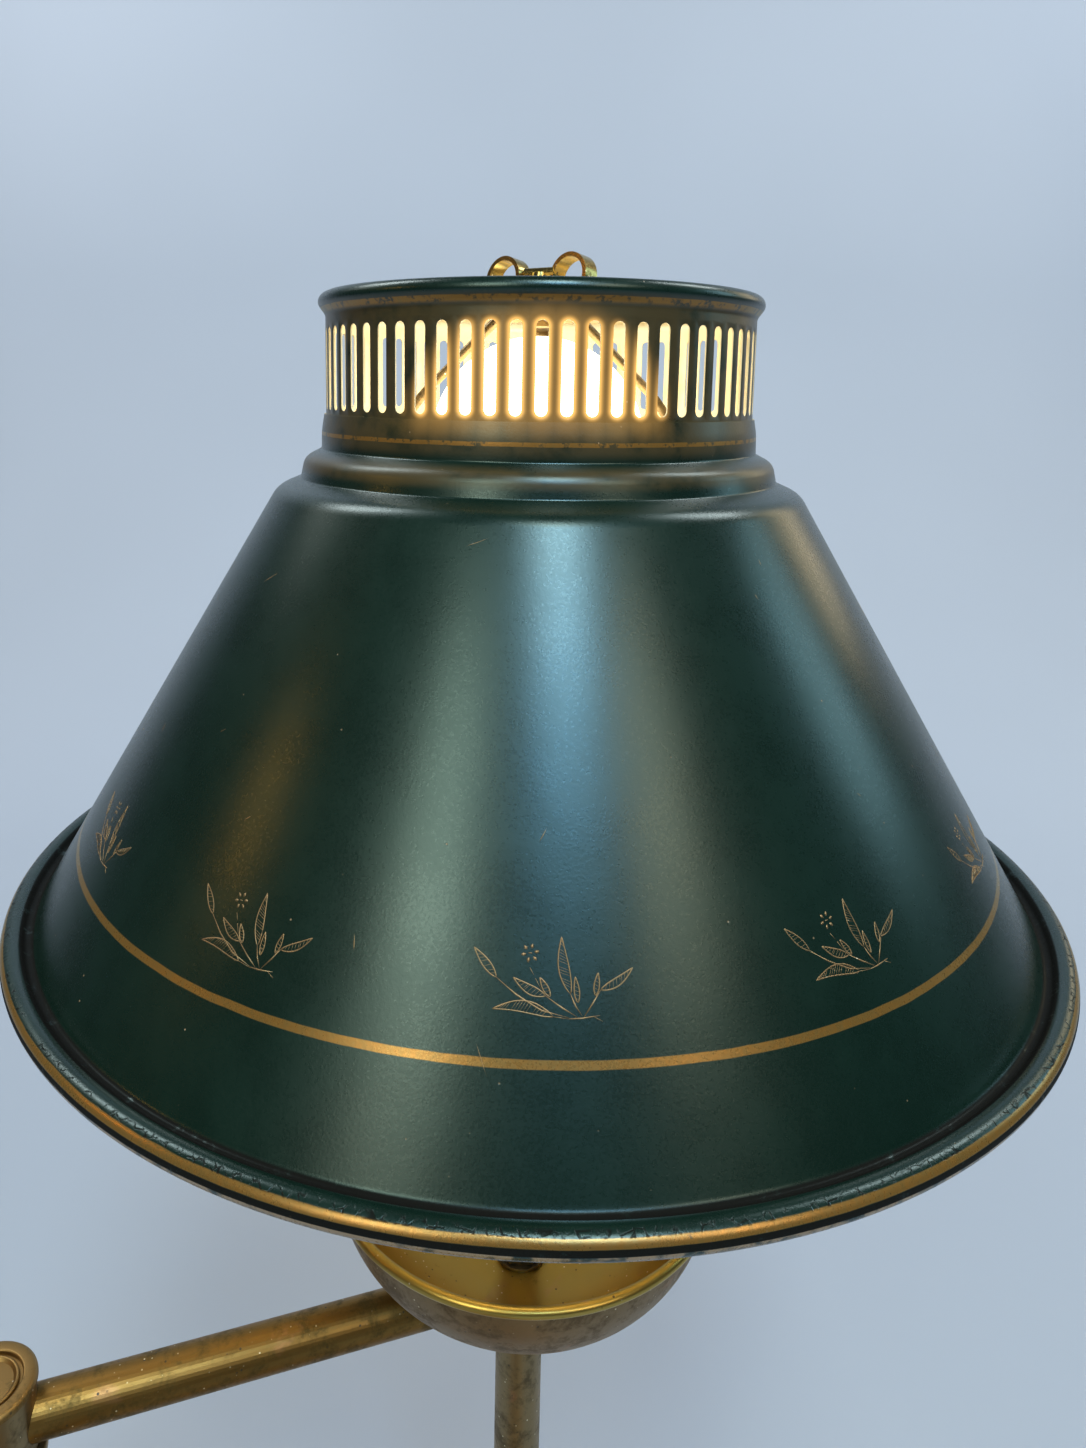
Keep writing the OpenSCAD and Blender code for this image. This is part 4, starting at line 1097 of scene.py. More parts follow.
@dataclass
class Sizes:
    """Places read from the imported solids, and the sizes of the finer forms."""

    lamp: Vector = field(default_factory=lambda: middle("cup"))
    elbow: Vector = field(default_factory=lambda: middle("elbow_cap"))
    cup_z: float = field(default_factory=lambda: lowest("cup"))
    shade_top_z: float = field(default_factory=lambda: highest("shade_gallery"))
    fit: float = 0.05
    sheet: float = 0.6
    gallery_r: float = 72.5
    bead_h: float = 8.0
    bead_out: float = 2.4
    bead_swell: float = 0.62
    hem_in: float = 0.8
    slot_count: int = 63
    slot_start: float = -89.2
    slot_w: float = 3.5
    slot_len: float = 26.4
    slot_margin: float = 3.7
    gallery_lap: float = 9.0
    shade_r: float = 178.0
    rim_r: float = 3.6
    groove_r: float = 1.8
    groove_turn: float = 150.0
    rim_end: float = -160.0
    cup_r: float = 75.0
    cup_depth: float = 50.0
    cup_wall: float = 0.9
    cup_foot_r: float = 14.0
    lip_r: float = 1.9
    cup_hole_r: float = 5.15
    cup_seat_r: float = 9.0
    cup_steps: int = 48
    sprig_count: int = 12
    sprig_start: float = 4.84
    sprig_drop: float = 168.4
    stripe_drop: float = 176.4
    stripe_w: float = 1.64
    seam_rise: float = 2.2
    inside_r: float = 60.0
    neck_corners: tuple[tuple[float, float, float], ...] = (
        (0.9, 5.4, 2.2), (0.1, 6.1, 0.5), (5.7, 3.05, 2.4), (1.4, 6.5, 0.5), (7.9, 3.4, 3.2),
    )

    def __post_init__(self) -> None:
        """Work out the heights that hang on others."""
        self.slot_top_z = self.shade_top_z - self.bead_h - self.slot_margin
        self.slot_low_z = self.slot_top_z - self.slot_len
        self.seam_z = self.slot_low_z - self.slot_margin + self.seam_rise
        self.rim_z = lowest("shade_cone") + self.rim_r
        self.rim_x = self.shade_r - self.rim_r
        self.stripe_z = self.shade_top_z - self.stripe_drop
        self.sprig_z = self.shade_top_z - self.sprig_drop

    @property
    def axis(self) -> Point:
        """Place of the lamp's axis."""
        return (self.lamp.x, self.lamp.y)


@dataclass
class Assembly:
    """A sub-assembly of the lamp: pieces shaped anew, and solids that keep their form.

    Each row of solids holds a slot, a finish, the bevel of its sharp edges and the names.
    """

    frame: dict
    sizes: Sizes
    solids: ClassVar[tuple[tuple[str, Finish, float, str], ...]] = ()

    def shape(self) -> None:
        """Make the pieces that are shaped anew, where there are any."""

    def build(self) -> None:
        """Build every piece."""
        self.shape()
        for slot, finish, edge, nodes in self.solids:
            for node in nodes.split():
                carried(self.frame, node, slot, finish.material, edge)


# ----------------------------------------------------------------------- shade


def rounded(a: Point, c: Point, b: Point, back: float, steps: int = 16) -> list[Point]:
    """Round a corner off.

    Args:
        a: Point before the corner.
        c: The corner.
        b: Point after it.
        back: How far from the corner the curve starts and ends.
        steps: Runs of the curve.

    Returns:
        The points of the curve.
    """
    ends = []
    for p in (a, b):
        share = back / math.dist(p, c)
        ends.append((c[0] + (p[0] - c[0]) * share, c[1] + (p[1] - c[1]) * share))
    (px, py), (qx, qy) = ends
    made = []
    for i in range(steps + 1):
        t = i / steps
        u, v, w = (1 - t) ** 2, 2 * t * (1 - t), t ** 2
        made.append((u * px + v * c[0] + w * qx, u * py + v * c[1] + w * qy))
    return made


@dataclass
class ConeLine:
    """Outside of the cone, from its rolled rim up to the seam under the gallery."""

    sizes: Sizes

    def __post_init__(self) -> None:
        """Work out the points, and low and high, the ends of the straight slope."""
        s = self.sizes
        neck = [(s.gallery_r + s.fit + s.sheet, s.seam_z)]
        for out, drop, _ in s.neck_corners:
            neck.append((neck[-1][0] + out, neck[-1][1] - drop))
        self.high = neck[-1]
        turn = math.radians(s.groove_turn)
        reach_r = s.rim_r + s.groove_r
        groove = (s.rim_x + reach_r * math.cos(turn), s.rim_z + reach_r * math.sin(turn))
        lean = math.atan2(groove[1] - self.high[1], groove[0] - self.high[0])
        touch = lean - math.asin(s.groove_r / math.dist(groove, self.high))
        self.low = (
            groove[0] - s.groove_r * math.cos(touch + math.pi / 2),
            groove[1] - s.groove_r * math.sin(touch + math.pi / 2),
        )
        line = arc((s.rim_x, s.rim_z), s.rim_r, s.rim_end, s.groove_turn, 40)
        line += arc(groove, s.groove_r, s.groove_turn - 180, math.degrees(touch) - 90, 8)
        line.append(self.low)
        below = [*neck[2:], self.low]
        for i in range(len(neck) - 1, 0, -1):
            line += rounded(below[i - 1], neck[i], neck[i - 1], s.neck_corners[i - 1][2])
        self.points = [*line, neck[0]]

    def at(self, u: float, v: float, lift: float) -> Vector:
        """Point of the slope, about the origin.

        Args:
            u: Distance round the cone from the sprig's middle.
            v: Distance up the slope from the sprig's foot.
            lift: Height above the surface.

        Returns:
            The point in metres.
        """
        run, rise = self.high[0] - self.low[0], self.high[1] - self.low[1]
        reach = math.hypot(run, rise)
        z = self.sizes.sprig_z + v * rise / reach
        r = self.low[0] + run * (z - self.low[1]) / rise
        angle = u / r
        r += lift * rise / reach
        z -= lift * run / reach
        return Vector((r * math.cos(angle), r * math.sin(angle), z)) * MM


@dataclass
class SlotCell:
    """One slot of the gallery with its share of the wall, bead and lap, about the origin.

    Each cut is a depth in the wall and how much wider than its width the slot is there.
    """

    sizes: Sizes
    turns: tuple[float, ...] = tuple(180 - 22.5 * i for i in range(9))
    runs: int = 5
    margin: float = 1.6
    shoulder: float = 0.4
    bead_steps: int = 16
    hem_r: float = 1.0
    share_min: float = 0.3
    cuts: tuple[Point, ...] = ((0.0, 0.14), (0.05, 0.03), (0.16, 0.0), (0.48, 0.0), (0.6, 0.1))

    def __post_init__(self) -> None:
        """Work out the columns and rows of the cell's frame."""
        s = self.sizes
        self.mesh = bmesh.new()
        self.half = math.pi / s.slot_count
        self.columns = []
        for turn in map(math.radians, self.turns):
            share = math.cos(turn) / max(self.share_min, math.sin(turn))
            self.columns.append(self.half * max(-1.0, min(1.0, share)))
        self.low, self.high = s.slot_low_z + s.slot_w / 2, s.slot_top_z - s.slot_w / 2
        rise = self.high - self.low
        self.heights = [self.low + rise * i / self.runs for i in range(1, self.runs)]

    def _row(self, r: float, line: Iterable[Point]) -> list[BMVert]:
        """Vertices on the wall, from their angles and heights."""
        spots = ((r * math.cos(a) * MM, r * math.sin(a) * MM, z * MM) for a, z in line)
        return [self.mesh.verts.new(spot) for spot in spots]

    def _level(self, r: float, z: float) -> list[BMVert]:
        """One vertex on each column."""
        return self._row(r, [(c, z) for c in self.columns])

    def _round(self, over: list[Point], under: list[Point], side: float) -> list[Point]:
        """Closed line through both ends of the cell and its two sides."""
        rising = [(-side, z) for z in self.heights]
        return over + [(side, z) for z in self.heights[::-1]] + under + rising

    def _slot(self, r: float) -> list[Point]:
        """Outline of the slot with ends of radius r, matched to the cell's frame."""
        turns = [math.radians(a) for a in self.turns]
        over = [(r * math.cos(a), self.high + r * math.sin(a)) for a in turns]
        under = [(-x, self.low + self.high - z) for x, z in over]
        return [(x / self.sizes.gallery_r, z) for x, z in self._round(over, under, r)]

    def _bead(self) -> list[Point]:
        """Outer line of the bead, from its foot up over its top and into the hem."""
        s = self.sizes
        low = s.shade_top_z - s.bead_h
        crest = s.bead_h * (1 - s.bead_swell)
        reach = s.bead_out + s.hem_in
        shares = [i / self.bead_steps for i in range(self.bead_steps + 1)]
        line = [
            (s.gallery_r + s.bead_out * (1 - math.cos(math.pi * t)) / 2,
             low + s.bead_h * s.bead_swell * t)
            for t in shares
        ]
        line += [
            (s.gallery_r + s.bead_out - reach * (1 - math.cos(math.pi / 2 * t)),
             s.shade_top_z - crest * (1 - math.sin(math.pi / 2 * t)))
            for t in shares[1:]
        ]
        hem = (s.gallery_r - s.hem_in, s.shade_top_z - self.hem_r)
        return line + arc(hem, self.hem_r, 90, 200, 8)

    def _wall(self, ring: list[BMVert], line: list[Point], flip: bool) -> list[BMVert]:
        """Raise the wall above the slot.

        Args:
            ring: Vertices of the cell's frame, outside or inside.
            line: Radius and height of each row, the first of them on the frame.
            flip: Whether the faces look the other way.

        Returns:
            The last row.
        """
        rows = [ring[:len(self.turns)]]
        rows += [self._level(r, z) for r, z in tidy(line)[1:]]
        for a, b in zip(rows, rows[1:]):
            strip(self.mesh, a, b, flip)
        return rows[-1]

    def build(self) -> Object:
        """Make the cell."""
        s = self.sizes
        inner_r = s.gallery_r - s.sheet
        bottom, top = s.slot_low_z - self.margin, s.slot_top_z + self.margin
        frame = self._round(
            [(c, top) for c in self.columns], [(c, bottom) for c in self.columns[::-1]], self.half
        )
        rings = [self._row(s.gallery_r, frame)]
        for depth, more in self.cuts:
            rings.append(self._row(s.gallery_r - depth, self._slot(s.slot_w / 2 + more)))
        rings.append(self._row(inner_r, frame))
        for a, b in zip(rings, rings[1:]):
            skin(self.mesh, a, b)
        outer, inner = rings[0], rings[-1]
        line = [(s.gallery_r, top), (s.gallery_r, s.shade_top_z - s.bead_h - self.shoulder)]
        line += self._bead()
        crest = self._wall(outer, line, False)
        strip(self.mesh, crest, self._wall(inner, beside(tidy(line), s.sheet), True))
        start = len(self.turns) + len(self.heights)
        end = start + len(self.turns)
        edge_z = s.seam_z - s.gallery_lap
        outer_low, inner_low = self._level(s.gallery_r, edge_z), self._level(inner_r, edge_z)
        strip(self.mesh, outer_low, outer[start:end][::-1])
        strip(self.mesh, inner_low, inner[start:end][::-1], True)
        strip(self.mesh, inner_low, outer_low)
        bmesh.ops.recalc_face_normals(self.mesh, faces=self.mesh.faces)
        return finish_mesh(self.mesh, "gallery_cell", [], 180.0)


class Shade(Assembly):
    """Tole shade: pierced gallery, stepped neck, cone with painted sprigs, and its spider."""

    solids = (("dark_brass", Finish.DARK_BRASS, 0.15, "shade_spider"),)

    def shape(self) -> None:
        """Cone, gallery, sprigs and scratches."""
        cone = self._cone()
        self._gallery()
        self._sprigs()
        scratches = Scratches().build(cone, Finish.GILT.material)
        settle(scratches, Body.UPPER_ARM, "tole")

    @cached_property
    def line(self) -> ConeLine:
        """Outside of the cone."""
        return ConeLine(self.sizes)

    @cached_property
    def glow(self) -> SlotGlow:
        """Painted glow in front of the bulb, which lies a little below the slots."""
        s = self.sizes
        return SlotGlow(
            s.slot_count, s.slot_start, s.gallery_r, (s.slot_low_z + s.slot_top_z) / 2,
            s.slot_len / 2, s.slot_w, s.slot_low_z - 5.0,
        )

    def _cone_paint(self) -> TolePaint:
        """Paint of the cone, with its lines, wear, painted glow, dirt and painted shade in the
        groove, and painted shade on the rim's lower side.
        """
        s = self.sizes
        rim, seam = s.rim_z, s.seam_z
        return TolePaint(
            "tole_cone", s.axis, self.glow,
            stripes=(
                Zone(s.stripe_z - s.stripe_w / 2, s.stripe_z + s.stripe_w / 2, 150.0),
                Zone(rim + 1.2, rim + 2.75, s.rim_x + 1.5),
            ),
            faded=(Zone(seam - 6.9, seam - 5.7, s.inside_r),),
            # Groove at the cone's foot: dirt and painted shade. Outer lower side of the rolled
            # rim: painted shade.
            grime_and_shade=(
                Zone(rim + 0.4, rim + 3.4, s.rim_x - 6.0, soft=0.4, outer=s.rim_x - 2.0),
                Zone(rim - 0.5, rim + 1.1, s.rim_x + 2.0),
            ),
            browned=(
                Zone(seam - 9.5, seam + 2.0, s.inside_r, soft=2.0),
                Zone(seam - 18.0, seam - 13.0, s.inside_r, soft=1.5),
            ),
            crazed=(Zone(rim + 2.7, rim + 3.5, s.rim_x + 0.4),),
            bared=(Zone(rim - 2.1, rim - 0.5, s.rim_x + 1.5),),
        )

    def _gallery_paint(self) -> TolePaint:
        """Paint of the gallery, with a faded line, browned places and painted glow."""
        s = self.sizes
        top = s.shade_top_z
        return TolePaint(
            "tole_gallery", s.axis, self.glow,
            faded=(Zone(top - 7.4, top - 5.0, s.gallery_r + 0.4),),
            browned=(Zone(s.seam_z - 2.0, top - 4.4, s.inside_r, soft=1.0),),
        )

    def _cone(self) -> Object:
        """Cone with its rolled rim, painted outside and enamelled inside."""
        s = self.sizes
        line = held(tidy(self.line.points), hold=0.4, long=4.0, step=18.0)
        count = len(line)
        cone = Turned(
            "shade_cone_dressed", sheet(line, s.sheet), s.axis, segments=256,
            split=lambda i, _: 0 if i < count - 1 or i == 2 * count - 1 else 1,
        ).build(self._cone_paint().material(), Finish.ENAMEL.material)
        return settle(cone, Body.UPPER_ARM, "tole", "shade_cone")

    def _gallery(self) -> None:
        """Gallery made of one cell per slot, welded into a ring."""
        s = self.sizes
        gallery = ring_of(
            SlotCell(s).build(), "shade_gallery_dressed", s.slot_count, s.slot_start, s.axis,
            self._gallery_paint().material(), Finish.ENAMEL.material,
            weld=1e-5, walls=(s.shade_top_z - s.bead_h) * MM,
        )
        gallery.data.set_sharp_from_angle(angle=math.radians(50))
        settle(gallery, Body.UPPER_ARM, "tole", "shade_gallery")

    def _sprigs(self) -> None:
        """Painted sprigs round the cone, as hair-thin raised lines of gold size."""
        s = self.sizes
        mesh = bmesh.new()
        for stroke, width in Sprig().strokes():
            self._stroke(mesh, stroke, width)
        bmesh.ops.recalc_face_normals(mesh, faces=mesh.faces)
        cell = finish_mesh(mesh, "sprig_cell", [], 180.0)
        gilt = Finish.GILT.material
        start = s.sprig_start - 90
        sprigs = ring_of(cell, "gilt_sprigs", s.sprig_count, start, s.axis, gilt, gilt)
        settle(sprigs, Body.UPPER_ARM, "tole")

    def _stroke(
        self, mesh: BMesh, line: Sequence[Point], width: float,
        lift: float = 0.07, tip: float = 0.35,
    ) -> None:
        """Lay one line on the cone as a low ridge.

        Args:
            mesh: Mesh that takes it.
            line: Points on the unrolled cone, from the foot of the sprig.
            width: Width of the line.
            lift: Height of the ridge, and depth of its root.
            tip: Share of the width that is left at both ends.
        """
        at = self.line.at
        last = len(line) - 1
        rows = []
        for i, (x, y) in enumerate(line):
            a, b = line[max(i - 1, 0)], line[min(i + 1, last)]
            reach = math.dist(a, b) or 1.0
            nx, ny = -(b[1] - a[1]) / reach, (b[0] - a[0]) / reach
            share = width / 2 * (tip if i in (0, last) else 1.0)
            spots = (
                at(x + nx * share, y + ny * share, 0.0), at(x, y, lift),
                at(x - nx * share, y - ny * share, 0.0), at(x, y, -lift),
            )
            rows.append([mesh.verts.new(spot) for spot in spots])
        for a, b in zip(rows, rows[1:]):
            skin(mesh, a, b)
        mesh.faces.new(rows[0])
        mesh.faces.new(rows[-1])


@dataclass(frozen=True)
class Leaf:
    """A pointed leaf drawn as two bowed lines with a few ticks between them."""

    foot: Point
    tip: Point
    width: float
    ticks: int
    bow: float = 0.0


@dataclass(frozen=True)
class Sprig:
    """A generic spray of leaves with one small flower."""

    line: float = 0.41
    leaves: tuple[Leaf, ...] = (
        Leaf((-19.0, 8.0), (-24.0, 14.0), 1.8, 7),
        Leaf((-6.4, 0.4), (-20.0, 1.5), 2.4, 14, -1.4),
        Leaf((-8.0, 4.6), (-15.2, 8.2), 1.9, 9, 0.5),
        Leaf((-7.0, 4.4), (-9.2, 8.4), 1.3, 6),
        Leaf((-2.4, 5.0), (-4.0, 17.0), 2.4, 13, 0.6),
        Leaf((-0.8, 3.2), (-1.2, 8.6), 1.2, 6),
        Leaf((4.4, 5.8), (12.0, 10.2), 1.7, 9, -0.6),
        Leaf((3.2, 4.6), (4.0, 9.4), 1.2, 6),
    )
    stems: tuple[tuple[Point, ...], ...] = (
        ((-3.2, 0.0), (0.0, 0.1), (4.0, 0.6)),
        ((2.6, 0.4), (4.6, -0.6)),
        ((-3.0, 0.2), (-9.0, 1.6), (-14.5, 4.6), (-19.0, 8.0)),
        ((-3.2, 0.0), (-6.4, 0.4)),
        ((-1.2, 0.4), (-4.4, 2.2), (-8.0, 4.6)),
        ((0.0, 0.6), (-1.4, 2.6), (-2.4, 5.0)),
        ((0.3, 0.2), (2.6, 3.2), (4.4, 5.8)),
        ((-9.0, 6.0), (-10.2, 8.2)),
        ((-10.5, 8.8), (-11.4, 10.4)),
    )
    flower: Point = (-11.2, 13.4)
    petals: int = 6
    petal_turn: float = 12.0
    petal_marks: tuple[float, float, float] = (1.0, 1.5, 2.05)
    petal_width: float = 0.8
    heart_r: float = 0.4
    heart_width: float = 0.7
    edge_steps: int = 20
    edge_shape: float = 0.8
    edge_share: float = 0.8
    tick_share: float = 0.6
    tick_first: int = 2
    tick_span: int = 15
    tick_lean: int = 2

    def strokes(self) -> Iterable[tuple[list[Point], float]]:
        """Every line of the sprig, with its width."""
        for stem in self.stems:
            yield list(stem), self.line
        for leaf in self.leaves:
            yield from self._leaf(leaf)
        x, y = self.flower
        for i in range(self.petals):
            a = math.radians(360 / self.petals * i + self.petal_turn)
            petal = [(x + r * math.cos(a), y + r * math.sin(a)) for r in self.petal_marks]
            yield petal, self.petal_width
        yield [(x - self.heart_r, y), (x + self.heart_r, y)], self.heart_width

    def _leaf(self, leaf: Leaf) -> Iterable[tuple[list[Point], float]]:
        """Outline and ticks of one leaf, each with its width."""
        (x, y), (dx, dy) = leaf.foot, (leaf.tip[0] - leaf.foot[0], leaf.tip[1] - leaf.foot[1])
        reach = math.hypot(dx, dy)
        nx, ny = -dy / reach, dx / reach
        edges: list[list[Point]] = []
        for side in (-1, 1):
            edge = []
            for i in range(self.edge_steps + 1):
                t = i / self.edge_steps
                out = side * leaf.width / 2 * math.sin(math.pi * t ** self.edge_shape)
                out += leaf.bow * math.sin(math.pi * t)
                edge.append((x + dx * t + nx * out, y + dy * t + ny * out))
            edges.append(edge)
            yield edge, self.line * self.edge_share
        for k in range(leaf.ticks):
            i = self.tick_first + round(self.tick_span * k / (leaf.ticks - 1))
            yield [edges[0][i], edges[1][i + self.tick_lean]], self.line * self.tick_share


# ------------------------------------------------------------------------ head


class Head(Assembly):
    """Finial, harp, socket and bulb."""

    solids = (
        ("brass", Finish.BRIGHT_BRASS, 0.35, "finial"),
        ("dark_brass", Finish.DARK_BRASS, 0.0, "harp harp_saddle"),
        ("brass", Finish.BRASS, 0.12, "harp_stud harp_sleeves"),
        ("brass", Finish.BRASS, 0.0, "socket_cap socket_shell screw_shell center_contact"),
        ("card", Finish.FIBRE, 0.0, "socket_liner"),
        ("plastic", Finish.BAKELITE, 0.0, "socket_base"),
        ("cap_metal", Finish.ALUMINIUM, 0.0, "bulb_base"),
        ("glass", Finish.BULB, 0.0, "bulb_glass"),
        ("clear_glass", Finish.STEM_GLASS, 0.0, "bulb_mount"),
    )


class Cup(Assembly):
    """Drip cup and riser tube under the shade."""

    solids = (
        ("brass", Finish.DARK_BRASS, 0.0, "riser_tube"),
        ("dark_brass", Finish.DARK_BRASS, 0.15, "riser_washer"),
        ("steel", Finish.OILED_STEEL, 0.15, "cup_washer cup_nut"),
    )

    def shape(self) -> None:
        """Spun cup with its rolled lip, satin inside and brown outside."""
        s = self.sizes
        bowl_r = s.cup_r - 2 * s.lip_r + s.cup_wall
        rise = s.cup_depth - s.lip_r
        line = [(s.cup_hole_r, 0.0), (s.cup_seat_r, 0.0), (s.cup_foot_r, 0.0)]
        for i in range(1, s.cup_steps + 1):
            a = math.radians(90 * (1 - i / s.cup_steps))
            x = s.cup_foot_r + (bowl_r - s.cup_foot_r) * math.cos(a)
            line.append((x, rise * (1 - math.sin(a))))
        line = tidy(line + arc((s.cup_r - s.lip_r, rise), s.lip_r - s.cup_wall, 180, -60, 28))
        count = len(line)

        def side(i: int, at: Point) -> int:
            """Outside, inside or lip."""
            if at[0] > bowl_r - 0.1 and at[1] > rise - 0.2:
                return 2
            return 0 if i < count - 1 else 1

        wall = sheet(line, s.cup_wall)
        cup = Turned("cup_dressed", wall, s.axis, segments=192, base=s.cup_z, split=side)
        inside = Finish.CUP_INSIDE.material
        cup = cup.build(Finish.CUP_OUTSIDE.material, inside, inside)
        settle(cup, Body.UPPER_ARM, "cup_brass", "cup")


class Stem(Assembly):
    """Hub, drop stem and rotary switch."""

    solids = (
        ("dark_brass", Finish.DARK_BRASS, 0.0, "head_hub"),
        ("brass", Finish.DARK_BRASS, 0.0, "stem_tube"),
        ("dark_brass", Finish.DARK_BRASS, 0.0, "switch_housing"),
        ("brass", Finish.BRASS, 0.1, "switch_plate switch_knob"),
        ("plastic", Finish.BAKELITE, 0.0, "switch_body"),
        ("steel", Finish.STEEL, 0.0, "lamp_pipe stem_nut"),
    )


@dataclass(frozen=True)
class CapForm:
    """Section of a knuckle's cap: spigot, rounded band, groove and raised disc."""

    radius: float = 16.2
    height: float = 2.7
    band: float = 4.8
    groove: float = 1.6
    spigot: float = 2.5
    spigot_r: float = 10.45
    edge_r: float = 0.4
    brow_r: float = 2.1
    crest_r: float = 0.6
    disc_r: float = 0.7
    disc_in: float = 1.0
    disc_drop: float = 1.1
    dish_in: float = 2.0
    dish_drop: float = 1.4
    middle_drop: float = 1.0

    def outline(self) -> list[Point]:
        """Line from the axis under the spigot round to the middle of the top."""
        h, flat = self.height, self.radius - self.edge_r
        band = self.radius - self.band
        disc = band - self.disc_in
        line = [(0.0, -self.spigot), (self.spigot_r, -self.spigot), (self.spigot_r, 0.0)]
        line += [(flat, 0.0), *arc((flat, self.edge_r), self.edge_r, -90, 0, 8)]
        line += arc((self.radius - self.brow_r, h - self.brow_r), self.brow_r, 0, 80, 12)
        line += arc((band + self.crest_r, h - self.crest_r), self.crest_r, 90, 180, 8)
        line += [(band, h - self.groove), (disc, h - self.groove)]
        line += arc((disc - self.disc_r, h - self.disc_drop), self.disc_r, 0, 150, 12)
        line += [(disc - self.dish_in, h - self.dish_drop), (0.0, h - self.middle_drop)]
        return tidy(line)


class SwingArms(Assembly):
    """Two arms and their knuckles."""

    solids = (
        ("brass", Finish.ARM_BRASS, 0.0, "lower_arm_tube upper_arm_tube"),
        ("lead", Finish.WIRE, 0.0, "lower_arm_lead upper_arm_lead"),
        ("dark_brass", Finish.DARK_BRASS, 0.2, "column_barrel"),
        ("dark_brass", Finish.DARK_BRASS, 0.2, "elbow_lower_barrel elbow_upper_barrel"),
        ("brass", Finish.BRASS, 0.0, "elbow_cap_nut"),
        ("steel", Finish.STEEL, 0.0, "elbow_pivot elbow_thrust_washer elbow_spring_washer"),
        ("steel", Finish.STEEL, 0.0, "elbow_lock_nut column_spring_washer column_lock_nut"),
        ("steel", Finish.STEEL, 0.0, "column_thrust_washer"),
    )

    def shape(self) -> None:
        """Caps of both knuckles, on the height of their solids."""
        form, elbow = CapForm(), self.sizes.elbow
        for node, axis, body in (
            ("column_cap", (0.0, 0.0), Body.LOWER_ARM),
            ("elbow_cap", (elbow.x, elbow.y), Body.UPPER_ARM),
        ):
            base = lowest(node) + form.spigot
            cap = Turned(node + "_dressed", form.outline(), axis, base=base)
            settle(cap.build(Finish.BRASS.material), body, "brass", node)


class Stand(Assembly):
    """Column and weighted base."""

    solids = (
        ("felt", Finish.FELT, 0.0, "felt_pad"),
        ("iron", Finish.IRON, 0.0, "base_weight"),
        ("brass", Finish.BRASS, 0.0, "base_shell column_tube"),
        ("dark_brass", Finish.DARK_BRASS, 0.0, "base_collar column_seat"),
        ("steel", Finish.STEEL, 0.0, "base_nut base_washer column_pipe"),
        ("plastic", Finish.BAKELITE, 0.2, "cord_bushing"),
        ("lead", Finish.WIRE, 0.0, "column_lead"),
    )


# ---------------------------------------------------------------------- studio


def orbit(azimuth: float, elevation: float, reach: float = 2.1) -> Vector:
    """Place on a sphere round the lamp, in degrees from its front and metres from its middle."""
    turn, lift = math.radians(azimuth), math.radians(elevation)
    level = reach * math.cos(lift)
    return Vector((level * math.sin(turn), -level * math.cos(turn), reach * math.sin(lift)))


@dataclass(frozen=True)
class Softbox:
    """A rectangular soft light, placed and aimed from the middle of the lamp."""

    name: str
    at: Vector
    power: float
    colour: Colour
    aim: Vector = Vector((0.0, 0.0, 0.0))
    width: float = 0.5
    height: float = 0.8

    def build(self, target: Vector) -> None:
        """Place the light.

        Args:
            target: Middle of the lamp, in metres.
        """
        data = bpy.data.lights.new(self.name, "AREA")
        data.shape = "RECTANGLE"
        data.size, data.size_y = self.width, self.height
        data.energy = self.power
        data.color = self.colour
        lamp = bpy.data.objects.new(self.name, data)
        lamp.location = target + self.at
        lamp.rotation_euler = (self.aim - self.at).to_track_quat("-Z", "Y").to_euler()
        bpy.context.scene.collection.objects.link(lamp)
        lamp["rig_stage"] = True


@dataclass(frozen=True)
class Camera:
    """Camera in front of the shade, a little above its middle.

    Its place is counted from the lamp's axis, and its angles are radians.
    """

    at: tuple[float, float, float] = (0.01, -357.83, 660.0)
    down: float = 0.152
    level: float = 0.0128
    yaw: float = -0.0483
    sensor: float = 36.0
    lens: float = 25.346
    shift: Point = (0.0394, -0.1243)
    nearest: float = 0.01

    def build(self, axis: Point) -> None:
        """Place the camera.

        Args:
            axis: Place of the lamp's axis.
        """
        ahead = Vector((
            math.sin(self.yaw) * math.cos(self.down), math.cos(self.yaw) * math.cos(self.down),
            -math.sin(self.down),
        ))
        right = Vector((math.cos(self.yaw), -math.sin(self.yaw), 0.0))
        up = right.cross(ahead)
        across = right * math.cos(self.level) + up * math.sin(self.level)
        above = up * math.cos(self.level) - right * math.sin(self.level)
        data = bpy.data.cameras.new("camera")
        data.sensor_width = self.sensor
        data.lens = self.lens
        data.shift_x, data.shift_y = self.shift
        data.clip_start = self.nearest
        camera = bpy.data.objects.new("camera", data)
        turn = Matrix((across, above, -ahead)).transposed().to_4x4()
        at = Vector((axis[0] + self.at[0], axis[1] + self.at[1], self.at[2])) * MM
        camera.matrix_world = Matrix.Translation(at) @ turn
        bpy.context.scene.collection.objects.link(camera)
        bpy.context.scene.camera = camera


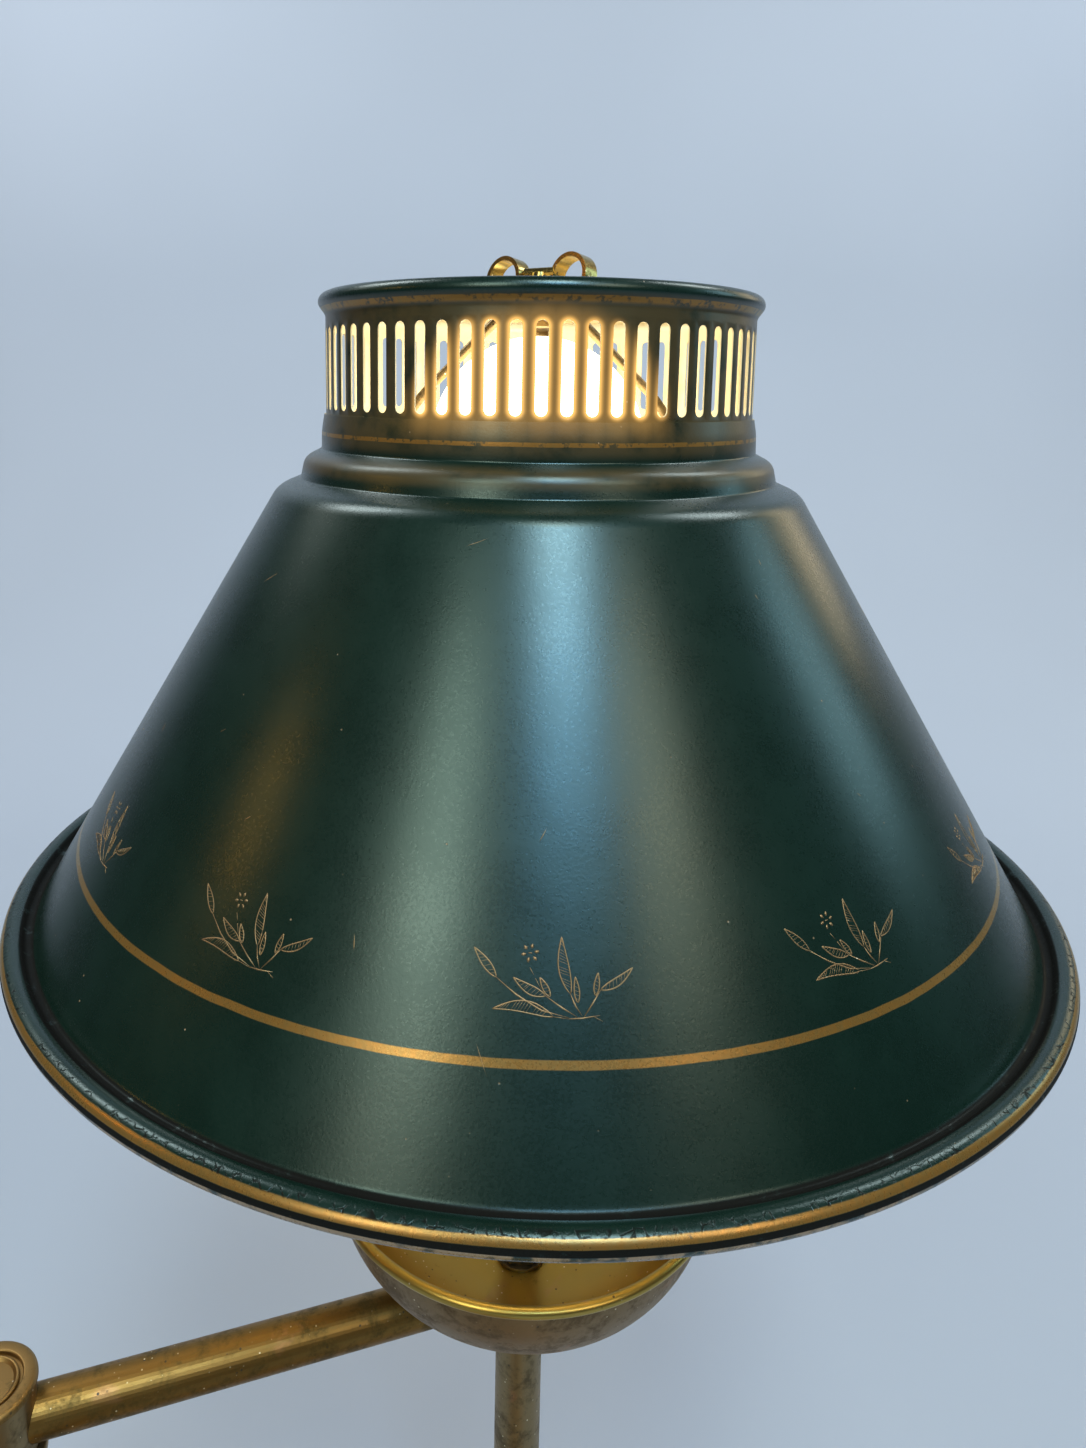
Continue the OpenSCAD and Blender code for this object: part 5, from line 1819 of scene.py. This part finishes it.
@dataclass
class Studio:
    """Curved paper sweep, soft lights and the camera."""

    sizes: Sizes
    paper: Colour = (0.46, 0.52, 0.61)
    ambient: Colour = (0.80, 0.92, 1.0)
    ambient_level: float = 0.05
    boxes: tuple[Softbox, ...] = (
        Softbox("key_high", orbit(12, 58), 17.2, (0.93, 1.0, 0.93)),
        Softbox("key", orbit(12, 46), 19.0, (0.38, 0.68, 1.0)),
        Softbox("left_high", orbit(-24, 34), 9.2, (0.93, 1.0, 0.82)),
        Softbox("left_low", orbit(-25, 21), 4.6, (1.0, 0.86, 0.64)),
        Softbox("left_glow", orbit(-75, 21), 1.4, (1.0, 0.44, 0.07), width=0.15, height=0.2),
        Softbox("left_rim", orbit(-106, 36), 2.0, (1.0, 0.95, 0.88)),
        Softbox("right", orbit(36, 34), 7.4, (1.0, 0.81, 0.58)),
        Softbox("right_side", orbit(100, 20), 4.2, (0.55, 0.88, 1.0)),
        Softbox("right_rim", orbit(125, 20), 3.4, (1.0, 0.76, 0.46)),
        Softbox(
            "paper_left", Vector((-1.3, 0.6, 1.58)), 21.0, (1.0, 1.0, 1.0),
            Vector((-0.7, 1.8, -0.1)), 1.0, 0.6,
        ),
        Softbox(
            "paper_right", Vector((1.3, 0.6, 1.58)), 19.0, (1.0, 1.0, 1.0),
            Vector((0.7, 1.8, -0.1)), 1.0, 0.6,
        ),
    )
    aim_z: float = 520.0
    front_shade_share: float = 0.80
    half_width: float = 3.2
    front: float = -2.6
    bend: float = 1.2
    bend_r: float = 0.9
    top: float = 3.2

    def build(self) -> None:
        """Build the studio round the lamp."""
        self._sweep()
        self._world()
        target = Vector((*self.sizes.axis, self.aim_z)) * MM
        for softbox in self.boxes:
            softbox.build(target)
        Camera().build(self.sizes.axis)

    def _sweep(self) -> None:
        """Floor that curves up into a wall, painted darker towards the front."""
        line = [(self.front, 0.0), (self.bend, 0.0)]
        line += arc((self.bend, self.bend_r), self.bend_r, -90, 0, 24)
        line.append((self.bend + self.bend_r, self.top))
        mesh = bmesh.new()
        sides = (-self.half_width, self.half_width)
        rows = [[mesh.verts.new((x, y, z)) for x in sides] for y, z in line]
        for a, b in zip(rows, rows[1:]):
            strip(mesh, a, b)
        sh = Shader("paper_sweep")
        at = sh.place()
        _, depth, _ = sh.parts(at)
        # Painted shade: the paper darkens towards the front and under the lamp, with a little
        # random tone.
        tint = sh.noise(at, 900.0, 2.0).ramp(0.3, 0.7) * 0.2 + depth.ramp(1500.0, 200.0) * 0.8
        colour = sh.mix(tint, self.paper, tuple(c * self.front_shade_share for c in self.paper))
        finish = sh.surfaced(Base_Color=colour, Roughness=0.9, Specular_IOR_Level=0.1)
        finish_mesh(mesh, "sweep", [finish], 60.0)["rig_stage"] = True

    def _world(self) -> None:
        """Even pale light from all sides."""
        world = bpy.data.worlds.new("studio")
        world.use_nodes = True
        back = world.node_tree.nodes["Background"]
        back.inputs["Color"].default_value = (*self.ambient, 1.0)
        back.inputs["Strength"].default_value = self.ambient_level
        bpy.context.scene.world = world


# ------------------------------------------------------------------------ main


def note_bounds(sizes_noted: list) -> None:
    """Add the object's present corners to the list."""
    low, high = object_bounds()
    sizes_noted.append([list(low), list(high)])


def main() -> None:
    """Build the dressed lamp and its studio."""
    logging.basicConfig(level=logging.INFO, format="%(name)s: %(message)s")
    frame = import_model()
    noted: list = []
    note_bounds(noted)
    sizes = Sizes()
    for part in (Shade, Head, Cup, Stem, SwingArms, Stand):
        part(frame, sizes).build()
    Studio(sizes).build()
    bpy.context.scene.view_settings.view_transform = "Standard"
    note_bounds(noted)
    LOG.info("bounds: %s", noted)


if __name__ == "__main__":
    main()
